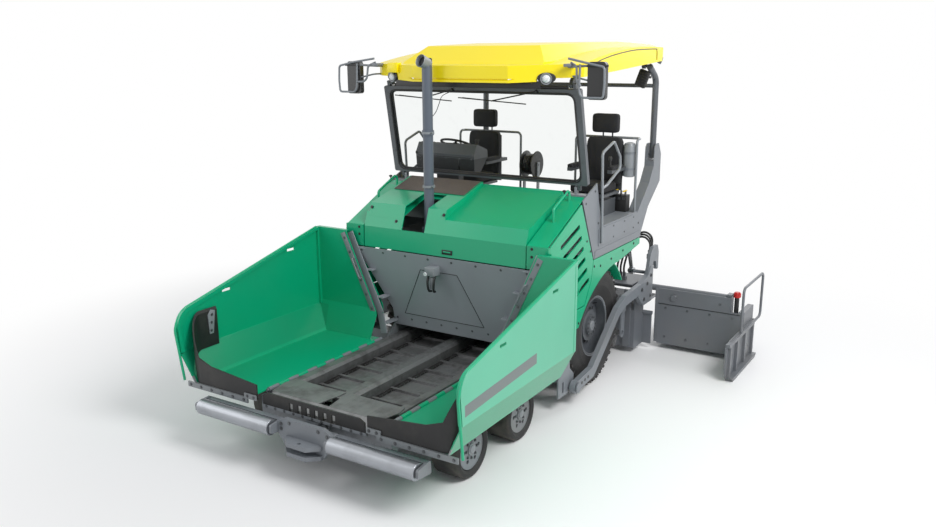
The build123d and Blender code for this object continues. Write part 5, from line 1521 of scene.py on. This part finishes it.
@dataclass
class Seats:
    """Two operator's seats: crowned cushions with seams, head rests, arm pads, bellows and joysticks."""

    x: float = 0.840
    y: float = 0.700
    deck: float = 1.840
    pan: float = 0.2623
    cushions: tuple[Cushion, ...] = (Cushion(-0.0025, 0.055, (0.215, 0.2275, 0.070), 0.22, (-0.55, 0.55)),
                                     Cushion(0.312, 0.330, (0.225, 0.072, 0.292), 0.26, (-0.55, 0.55)),
                                     Cushion(0.320, 0.775, (0.165, 0.066, 0.115), 0.30))
    arm: Cushion = Cushion(0.045, 0.556, (0.036, 0.175, 0.030), 0.2)
    arm_x: float = 0.255
    steps: int = 18
    bellows: Point = (0.40, 0.012, 0.010)
    knob: Section = ((0, 0), (0.004, 0.018), (0.030, 0.024), (0.050, 0.018), (0.056, 0))

    def pad(self, pads: Shape, middle: Point, cushion: Cushion) -> None:
        """Sews one cushion.

        Args:
            pads: the piece it joins.
            middle: its centre.
            cushion: its sizes.
        """
        thin = min(range(3), key=lambda k: cushion.half[k])
        wide, tall = (k for k in range(3) if k != thin)
        known: dict[Point, bmesh.types.BMVert] = {}

        def corner(cube: list[float]) -> bmesh.types.BMVert:
            """The cushion's own place of a point on a cube."""
            key = tuple(round(c, 5) for c in cube)
            if key not in known:
                size = sum(abs(c) ** 7 for c in cube) ** (1 / 7)
                unit = [c / size for c in cube]
                swell = (1 - unit[wide] ** 2) * (1 - unit[tall] ** 2)
                groove = sum(math.exp(-((unit[wide] - seam) / 0.035) ** 2) for seam in cushion.seams)
                unit[thin] *= 0.72 + (cushion.crown * swell - 0.10 * groove * (1 - unit[tall] ** 4))
                unit[tall] *= 1 - 0.035 * (1 - abs(unit[wide]) ** 2) * abs(unit[tall]) ** 6
                known[key] = pads.mesh.verts.new([m + h * u for m, h, u in zip(middle, cushion.half, unit)])
            return known[key]

        places = [-1 + 2 * i / self.steps for i in range(self.steps + 1)]
        faces = []
        for axis, end, i, j in product(range(3), (-1, 1), range(self.steps), range(self.steps)):
            ring = []
            for a, b in ((i, j), (i + 1, j), (i + 1, j + 1), (i, j + 1)):
                cube = [0.0, 0.0, 0.0]
                cube[axis], cube[(axis + 1) % 3], cube[(axis + 2) % 3] = end, places[a], places[b]
                ring.append(corner(cube))
            faces.append(pads.mesh.faces.new(ring))
        pads.close(faces, Finishes.SEAT)

    def build(self) -> None:
        """Builds the cushions and fittings of both seats."""
        pads, fittings = Shape("seat_pads"), Shape("seat_fittings")
        top = self.deck + self.pan
        for sign in (-1, 1):
            x = sign * self.x
            for cushion in self.cushions:
                self.pad(pads, at(x, self.y + cushion.along, top + cushion.up), cushion)
            for edge in (-1, 1):
                place = at(x + edge * self.arm_x, self.y + self.arm.along, self.deck + self.arm.up)
                self.pad(pads, place, self.arm)
            fittings.row(self.bellows, 7, (0.0, 0.0, -0.016), at(x, self.y - 0.185, self.deck + 0.225),
                         Finishes.BLACK)
            stick_x, y, z = x + sign * self.arm_x, self.y - 0.115, self.deck + 0.585
            fittings.bar(at(stick_x, y, z), at(stick_x, y - 0.01, z + 0.07), 0.010, Finishes.BLACK, 12)
            fittings.turned(self.knob, at(stick_x, y - 0.01, z + 0.06), UP, Finishes.BLACK, 16)
        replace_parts(pads.place("tractor", 60), "seat_cushions")
        fittings.place("tractor")


@dataclass
class ConsoleTrim:
    """Panel tiles, blank display, keys, levers, button, bolts and seams of the operator's console."""

    slope: Section = ((0.090, 2.640), (0.330, 2.560))
    display: tuple[float, float] = (-0.63, -0.45)
    panels: Section = ((-0.66, -0.42), (-1.22, -1.02), (-0.99, -0.69))
    keys: tuple[int, int] = (5, 3)
    key_x: tuple[float, float] = (-1.205, -1.180)
    key_share: tuple[float, float] = (0.18, 0.32)
    key_pitch: tuple[float, float] = (0.036, 0.24)
    levers: tuple[float, float] = (-0.55, -0.515)
    lever_way: Point = (0, 0.3, 0.95)
    knob: Section = ((0, 0), (0.003, 0.012), (0.018, 0.015), (0.026, 0))
    button_x: float = -1.13
    bolt_x: tuple[float, ...] = (-1.2, -1.0, -0.8, -0.6, -0.44)
    hinge_x: tuple[float, float] = (-1.235, -0.415)
    seam_x: tuple[float, float] = (-1.02, -0.62)

    def spot(self, x: float, share: float, out: float) -> Point:
        """A place on the sloping panel."""
        (y0, z0), (y1, z1) = self.slope
        return at(x, y0 + (y1 - y0) * share + 0.316 * out, z0 + (z1 - z0) * share + 0.949 * out)

    def tile(self, trim: Shape, x: tuple[float, float], share: tuple[float, float], rise: float,
             finish: Finishes) -> None:
        """A flat raised tile on the panel."""
        corners = ((share[0], -0.001), (share[1], -0.001), (share[1], rise), (share[0], rise))
        trim.prism([self.spot(0, s, out)[1:] for s, out in corners], "x", *x, finish, 0.0015)

    def controls(self, trim: Shape) -> None:
        """Display, keys, levers and the red button."""
        right, left, middle = self.panels
        self.tile(trim, right, (0.10, 0.90), 0.010, Finishes.BLACK)
        self.tile(trim, self.display, (0.20, 0.72), 0.013, Finishes.SCREEN)
        self.tile(trim, left, (0.10, 0.90), 0.010, Finishes.BLACK)
        columns, rows = self.keys
        for i, j in product(range(columns), range(rows)):
            x = tuple(end + self.key_pitch[0] * i for end in self.key_x)
            share = tuple(end + self.key_pitch[1] * j for end in self.key_share)
            lit = (i, j) == (columns - 1, rows - 1)
            self.tile(trim, x, share, 0.016, Finishes.SIGNAL if lit else Finishes.FRAME)
        self.tile(trim, middle, (0.05, 0.35), 0.006, Finishes.BLACK)
        for x in self.levers:
            trim.bar(self.spot(x, 0.85, 0.0), self.spot(x, 0.80, 0.085), 0.006, Finishes.BLACK, 10)
            trim.turned(self.knob, self.spot(x, 0.80, 0.080), self.lever_way, Finishes.BLACK, 14)
        foot, top = (self.spot(self.button_x, 0.12, out) for out in (0.0, 0.026))
        trim.bar(foot, top, 0.018, Finishes.RED, 20)

    def build(self) -> None:
        """Builds the console's trim."""
        trim = Shape("console_trim")
        self.controls(trim)
        trim.bolts([at(x, 0.0235, 2.47) for x in self.bolt_x], FORWARD, 0.007, 0.004)
        for x in self.hinge_x:
            trim.block(at(x, 0.005, 2.500), at(x + 0.010, 0.045, 2.530), Finishes.NUT, 0.002)
        trim.block(at(-1.20, 0.022, 2.478), at(-0.44, 0.030, 2.486), Finishes.BLACK, 0.001)
        for x in self.seam_x:
            trim.block(at(x - 0.004, 0.024, 2.330), at(x + 0.004, 0.040, 2.460), Finishes.BLACK, 0.001)
        trim.place("tractor")


@dataclass
class PlatformGear:
    """Hose reel, tap block with yellow handles, canister, deck tread and bolts on the platform."""

    deck: float = 1.840
    reel_at: Point = (-0.150, 1.000, 2.325)
    drum: Section = ((-0.085, 0), (-0.085, 0.165), (-0.075, 0.170), (-0.070, 0.160), (-0.066, 0.075),
                     (0.066, 0.075), (0.070, 0.160), (0.075, 0.170), (0.085, 0.165), (0.085, 0))
    coil: Section = ((0.0, 0.076), (-0.010, 0.088), (-0.010, 0.120), (0.0, 0.132), (0.010, 0.120),
                     (0.010, 0.088))
    coils: int = 6
    bracket: tuple[float, float] = (0.090, 0.105)
    taps_at: tuple[float, float] = (1.02, 1.005)
    tap_count: int = 4
    canister_at: tuple[float, float] = (1.136, 1.060)
    canister_z: tuple[float, float] = (2.250, 2.660)
    canister_radius: float = 0.076
    post_at: tuple[float, float] = (1.235, 1.032)
    wall_x: float = 1.2755
    wall_bolts: Section = ((-0.45, 2.16), (-0.22, 2.26), (-0.40, 1.75), (-0.30, 1.62), (-0.12, 1.90),
                           (1.08, 1.70))
    rib_x: float = 1.2835
    rib_y: tuple[float, ...] = (-0.07, 0.30, 0.62, 0.90)
    rib_z: tuple[float, float] = (1.675, 1.800)

    def reel(self, gear: Shape) -> None:
        """Black drum between two flanges, wound with hose, on a bracket by the rear rail."""
        x, y, z = centre = at(*self.reel_at)
        gear.turned(self.drum, centre, ALONG_X, Finishes.BLACK, 40)
        for turn in range(self.coils):
            middle = -0.052 + 0.021 * turn
            gear.turned([(middle + along, out) for along, out in self.coil], centre, ALONG_X, Finishes.HOSE, 40)
        for sign in (-1, 1):
            low, high = span(*(x + sign * out for out in self.bracket))
            gear.block((low, y - 0.03, self.deck - 0.001), (high, y + 0.03, z + 0.03), Finishes.FRAME)
        gear.bar((x - 0.11, y, z), (x + 0.11, y, z), 0.014, Finishes.NUT)

    def taps(self, gear: Shape) -> None:
        """Valve block with hose ends and two yellow handles behind the left seat."""
        x, y, z = at(*self.taps_at, self.deck)
        gear.block((x - 0.09, y - 0.06, z), (x + 0.14, y + 0.06, z + 0.20), Finishes.BLACK, 0.006)
        gear.row((0.035, 0.125, 0.030), self.tap_count, (0.055, 0.0, 0.0), (x - 0.06, y, z + 0.16),
                 Finishes.NUT)
        for i in range(self.tap_count):
            stem, foot = x - 0.06 + 0.055 * i, z + 0.19
            gear.bar((stem, y, foot), (stem, y, foot + 0.06), 0.012, Finishes.NUT, 12)
            if i % 2:
                gear.block((stem - 0.011, y - 0.075, foot + 0.05), (stem + 0.011, y + 0.03, foot + 0.066),
                           Finishes.SIGNAL, 0.005)

    def canister(self, gear: Shape) -> None:
        """Grey canister with two straps behind the left seat, held to the rail's leg."""
        (x, y), (low, high), radius = self.canister_at, self.canister_z, self.canister_radius
        height = high - low
        shell = ((0, 0), (0, radius * 0.7), (0.012, radius), (height - 0.040, radius),
                 (height - 0.012, radius * 0.8), (height, radius * 0.35), (height, 0))
        gear.turned(shell, at(x, y, low), UP, Finishes.LIGHT_GREY, 40)
        for z in (low + 0.10, high - 0.12):
            gear.band(radius - 0.001, radius + 0.005, at(x, y, z), Finishes.FRAME, 40)
            gear.bar(at(x + radius * 0.9, y, z), at(*self.post_at, z), 0.009, Finishes.FRAME, 12)

    def build(self) -> None:
        """Builds the gear."""
        gear = Shape("platform_gear")
        self.reel(gear)
        self.taps(gear)
        self.canister(gear)
        gear.row((0.66, 0.009, 0.004), 23, (0.0, 0.032, 0.0), at(0.0, 0.318, self.deck + 0.0060),
                 Finishes.FRAME)
        gear.row((2.10, 0.010, 0.004), 26, (0.0, 0.030, 0.0), at(0.0, -0.16, self.deck + 0.0015),
                 Finishes.FRAME)
        for sign in (-1, 1):
            way = (sign, 0, 0)
            gear.bolts([at(sign * self.wall_x, y, z) for y, z in self.wall_bolts], way, 0.009, 0.006)
            gear.bolts([at(sign * self.rib_x, y, z) for y in self.rib_y for z in self.rib_z], way, 0.007, 0.004)
        gear.place("tractor")


# ---- screed --------------------------------------------------------------------------
@dataclass
class ScreedTrim:
    """Bolts and hoses of the screed; cover strip, flange, red knob and tread of each extension."""

    arm_x: float = 1.345
    arm_bolts: Section = ((-0.70, 0.21), (1.12, 0.86), (1.20, 0.72), (1.42, 0.72), (1.42, 0.98), (1.30, 0.90))
    hose_x: tuple[float, ...] = (0.880, 0.925, 0.970)
    hose_radius: float = 0.013
    mast: tuple[float, float] = (1.281, 1.222)
    socket: tuple[float, float] = (1.465, 0.902)
    front_y: float = 1.520
    plate_bolts: Section = (*product((1.52, 1.80, 2.08, 2.36), (0.17, 0.55)), (1.62, 0.70), (2.20, 0.70))
    boss: tuple[float, float] = (1.62, 0.70)
    knob_at: tuple[float, float] = (2.38, 1.60)
    knob_z: tuple[float, float] = (0.60, 0.80)
    knob: Section = ((0, 0), (0, 0.040), (0.012, 0.046), (0.050, 0.044), (0.066, 0.030), (0.070, 0))
    shield_y: float = 1.1595
    shield_bolts: Section = (*product((-1.0, -0.6, -0.2, 0.2, 0.6, 1.0), (0.16, 0.50)),)

    def arm(self, trim: Shape, sign: int) -> None:
        """Bolts on one tow arm, and thin black discs as painted shade in its setting holes."""
        face = sign * (self.arm_x + 0.0005)
        trim.bolts([at(face, y, z) for y, z in self.arm_bolts], (sign, 0, 0), 0.017, 0.013)
        # painted shade: thin black discs stand for the setting holes
        for i in range(3):
            x, y, z = at(face, -0.58 + 0.08 * i, 0.222 + 0.008 * i)
            trim.bar((x, y, z), (x + sign * 0.001, y, z), 0.018, Finishes.BLACK, 20)

    def hoses(self, trim: Shape, sign: int) -> None:
        """Three hoses from the arm's mast over to the screed, with crimped ends."""
        (mast_x, mast_z), (end_y, end_z) = self.mast, self.socket
        for i, x in enumerate(self.hose_x):
            y, rise = 1.490 + 0.034 * i, 0.140 + 0.026 * i
            route = ((mast_x, y, mast_z), (mast_x, y, 1.235 + rise), (1.175, y - 0.010 * i, 1.300 + rise),
                     (x + 0.090, y - 0.025 - 0.020 * i, 1.200 + rise), (x, end_y, 1.070), (x, end_y, end_z))
            trim.hose([at(sign * px, py, pz) for px, py, pz in route], self.hose_radius, Finishes.HOSE, 12, 7)
            for px, py, low in ((mast_x, y, mast_z + 0.006), (x, end_y, end_z + 0.006)):
                trim.bar(at(sign * px, py, low), at(sign * px, py, low + 0.055), self.hose_radius + 0.006,
                         Finishes.NUT, 6)

    def extension(self, side: str, sign: int) -> None:
        """Trim of one extension: bolts, flange, cover strip, height crank's boss, knob and tread."""
        trim = Shape(f"extension_trim_{side}")
        front = self.front_y
        trim.bolts([at(sign * x, front - 0.0005, z) for x, z in self.plate_bolts], FORWARD)
        trim.sided(sign, (1.378, front + 0.002, 0.085), (1.4205, front + 0.012, 0.795), Finishes.SCREED)
        trim.sided(sign, (1.42, front - 0.004, 0.596), (2.45, front + 0.001, 0.604), Finishes.BLACK, 0)
        x, z = self.boss
        trim.bar(at(sign * x, front - 0.02, z), at(sign * x, front, z), 0.038, Finishes.SCREED, 24)
        (x, y), (low, high) = self.knob_at, self.knob_z
        trim.bar(at(sign * x, y, low), at(sign * x, y, high), 0.028, Finishes.BLACK, 20)
        trim.turned(self.knob, at(sign * x, y, high), UP, Finishes.RED, 28)
        trim.row((1.02, 0.012, 0.004), 10, (0.0, 0.032, 0.0), at(sign * 1.935, 1.975, 0.3515), Finishes.NUT)
        trim.place(f"extension_{side}")

    def build(self) -> None:
        """Builds the trim of the whole screed."""
        trim = Shape("screed_trim")
        for fit in (self.arm, self.hoses):
            for sign in (-1, 1):
                fit(trim, sign)
        trim.row((2.20, 0.014, 0.005), 10, (0.0, 0.034, 0.0), at(0.0, 2.015, 0.4765), Finishes.NUT)
        trim.bolts([at(x, self.shield_y, z) for x, z in self.shield_bolts], FORWARD, 0.012, 0.009)
        trim.place("screed")
        for side, sign in SIDES:
            self.extension(side, sign)


# ---- studio --------------------------------------------------------------------------
def seen_by_camera(tree: bpy.types.NodeTree) -> Socket:
    """One for rays that reach the camera straight, off a mirror or through glass; nought for plain light.

    Args:
        tree: the shader tree it is added to.

    Returns:
        The value's socket.
    """
    path = tree.nodes.new("ShaderNodeLightPath")
    seen = path.outputs["Is Camera Ray"]
    for kind in ("Is Glossy Ray", "Is Transmission Ray"):
        both = tree.nodes.new("ShaderNodeMath")
        both.operation, both.use_clamp = "ADD", True
        tree.links.new(seen, both.inputs[0])
        tree.links.new(path.outputs[kind], both.inputs[1])
        seen = both.outputs[0]
    return seen


@dataclass(frozen=True)
class SoftLamp:
    """One square lamp: its name, place, aim, side in metres and power in watts."""

    name: str
    place: Point
    aim: Point
    size: float
    power: float

    def hang(self) -> None:
        """Hangs the lamp."""
        data = bpy.data.lights.new(self.name, "AREA")
        data.size, data.energy = self.size, self.power
        lamp = bpy.data.objects.new(self.name, data)
        lamp.location = self.place
        lamp.rotation_euler = (Vector(self.aim) - Vector(self.place)).to_track_quat("-Z", "Y").to_euler()
        bpy.context.scene.collection.objects.link(lamp)


@dataclass
class Studio:
    """Pale floor, white surroundings, soft lamps and the camera."""

    floor_size: float = 160.0
    floor_light: Colour = (0.93, 0.93, 0.93)
    floor_dark: Colour = (0.88, 0.88, 0.88)
    clear_from: float = 3.6
    clear_to: float = 7.5
    world_light: Colour = (0.95, 0.97, 1.0)
    world_level: float = 0.50
    lamps: tuple[SoftLamp, ...] = (SoftLamp("key", (7.5, -2.5, 8.0), (0, 0, 1.0), 4.0, 640),
                                   SoftLamp("fill", (-7.0, -6.0, 5.0), (0, -1, 1.2), 6.0, 170),
                                   SoftLamp("rear", (2.0, 8.0, 6.0), (0, 1, 1.5), 5.0, 200))
    camera_at: Point = (4.93, -7.93, 3.71)
    azimuth: float = 32.3
    elevation: float = 14.4
    roll: float = -0.3
    lens: float = 32.77
    sensor: float = 36.0
    shift_y: float = 0.0073
    reach: float = 200.0

    def floor(self) -> None:
        """Makes the pale floor, which clears to white away from the machine."""
        mesh, half = bpy.data.meshes.new("floor"), self.floor_size / 2
        mesh.from_pydata([(-half, -half, 0), (half, -half, 0), (half, half, 0), (-half, half, 0)], [],
                         [(0, 1, 2, 3)])
        plate = bpy.data.objects.new("floor", mesh)
        bpy.context.scene.collection.objects.link(plate)
        graph = Graph("floor")
        mesh.materials.append(graph.finish(graph.mix(graph.noise(0.4, 2.0) * 0.05, self.floor_light,
                                                     self.floor_dark), 0.75))
        surface = graph.output.inputs[0].links[0].from_socket
        away = graph.sum("SQRT", graph.x * graph.x + graph.y * graph.y).ramp(self.clear_from, self.clear_to)
        white = graph.node("ShaderNodeEmission", {"Color": WHITE, "Strength": 1.0})
        share = away * Value(graph, seen_by_camera(graph.tree))
        both = graph.node("ShaderNodeMixShader", {0: share, 1: surface, 2: white.outputs[0]})
        graph.tree.links.new(both.outputs[0], graph.output.inputs[0])

    def world(self) -> None:
        """White surroundings: full white to the camera, a calmer level as light."""
        world = bpy.data.worlds.new("studio")
        bpy.context.scene.world = world
        world.use_nodes = True
        tree = world.node_tree
        tree.nodes.clear()
        mix, out = tree.nodes.new("ShaderNodeMixShader"), tree.nodes.new("ShaderNodeOutputWorld")
        tree.links.new(seen_by_camera(tree), mix.inputs[0])
        for slot, (colour, level) in enumerate(((self.world_light, self.world_level), (WHITE, 1.0)), 1):
            ground = tree.nodes.new("ShaderNodeBackground")
            ground.inputs[0].default_value, ground.inputs[1].default_value = (*colour, 1), level
            tree.links.new(ground.outputs[0], mix.inputs[slot])
        tree.links.new(mix.outputs[0], out.inputs[0])

    def camera(self) -> None:
        """Sets the camera at the front left, a little above the roof line."""
        data = bpy.data.cameras.new("camera")
        data.lens, data.sensor_width, data.shift_y = self.lens, self.sensor, self.shift_y
        data.clip_end = self.reach
        camera = bpy.data.objects.new("camera", data)
        az, el = math.radians(self.azimuth), math.radians(self.elevation)
        look = Vector((-math.sin(az) * math.cos(el), math.cos(az) * math.cos(el), -math.sin(el)))
        turn = look.to_track_quat("-Z", "Y").to_matrix() @ Matrix.Rotation(math.radians(self.roll), 3, "Z")
        camera.matrix_world = Matrix.Translation(self.camera_at) @ turn.to_4x4()
        bpy.context.scene.collection.objects.link(camera)
        bpy.context.scene.camera = camera

    def build(self) -> None:
        """Sets up the whole studio."""
        self.floor()
        self.world()
        for lamp in self.lamps:
            lamp.hang()
        self.camera()
        bpy.context.scene.view_settings.view_transform = "Standard"


def main() -> None:
    """Dresses the frame, adds every piece and sets up the studio."""
    dress_frame()
    log.info("frame dressed")
    tyres = Tyres()
    for part in (tyres, WheelFittings(tyres), WingTrim(), BackWallTrim(), FrontTrim(), ConveyorTrim(),
                 HoodTrim(), StackTrim(), ScreenTrim(), RoofTrim(), WorkLamps(), Seats(), ConsoleTrim(),
                 PlatformGear(), ScreedTrim()):
        part.build()
    Studio().build()
    log.info("studio ready")


if __name__ == "__main__":
    main()
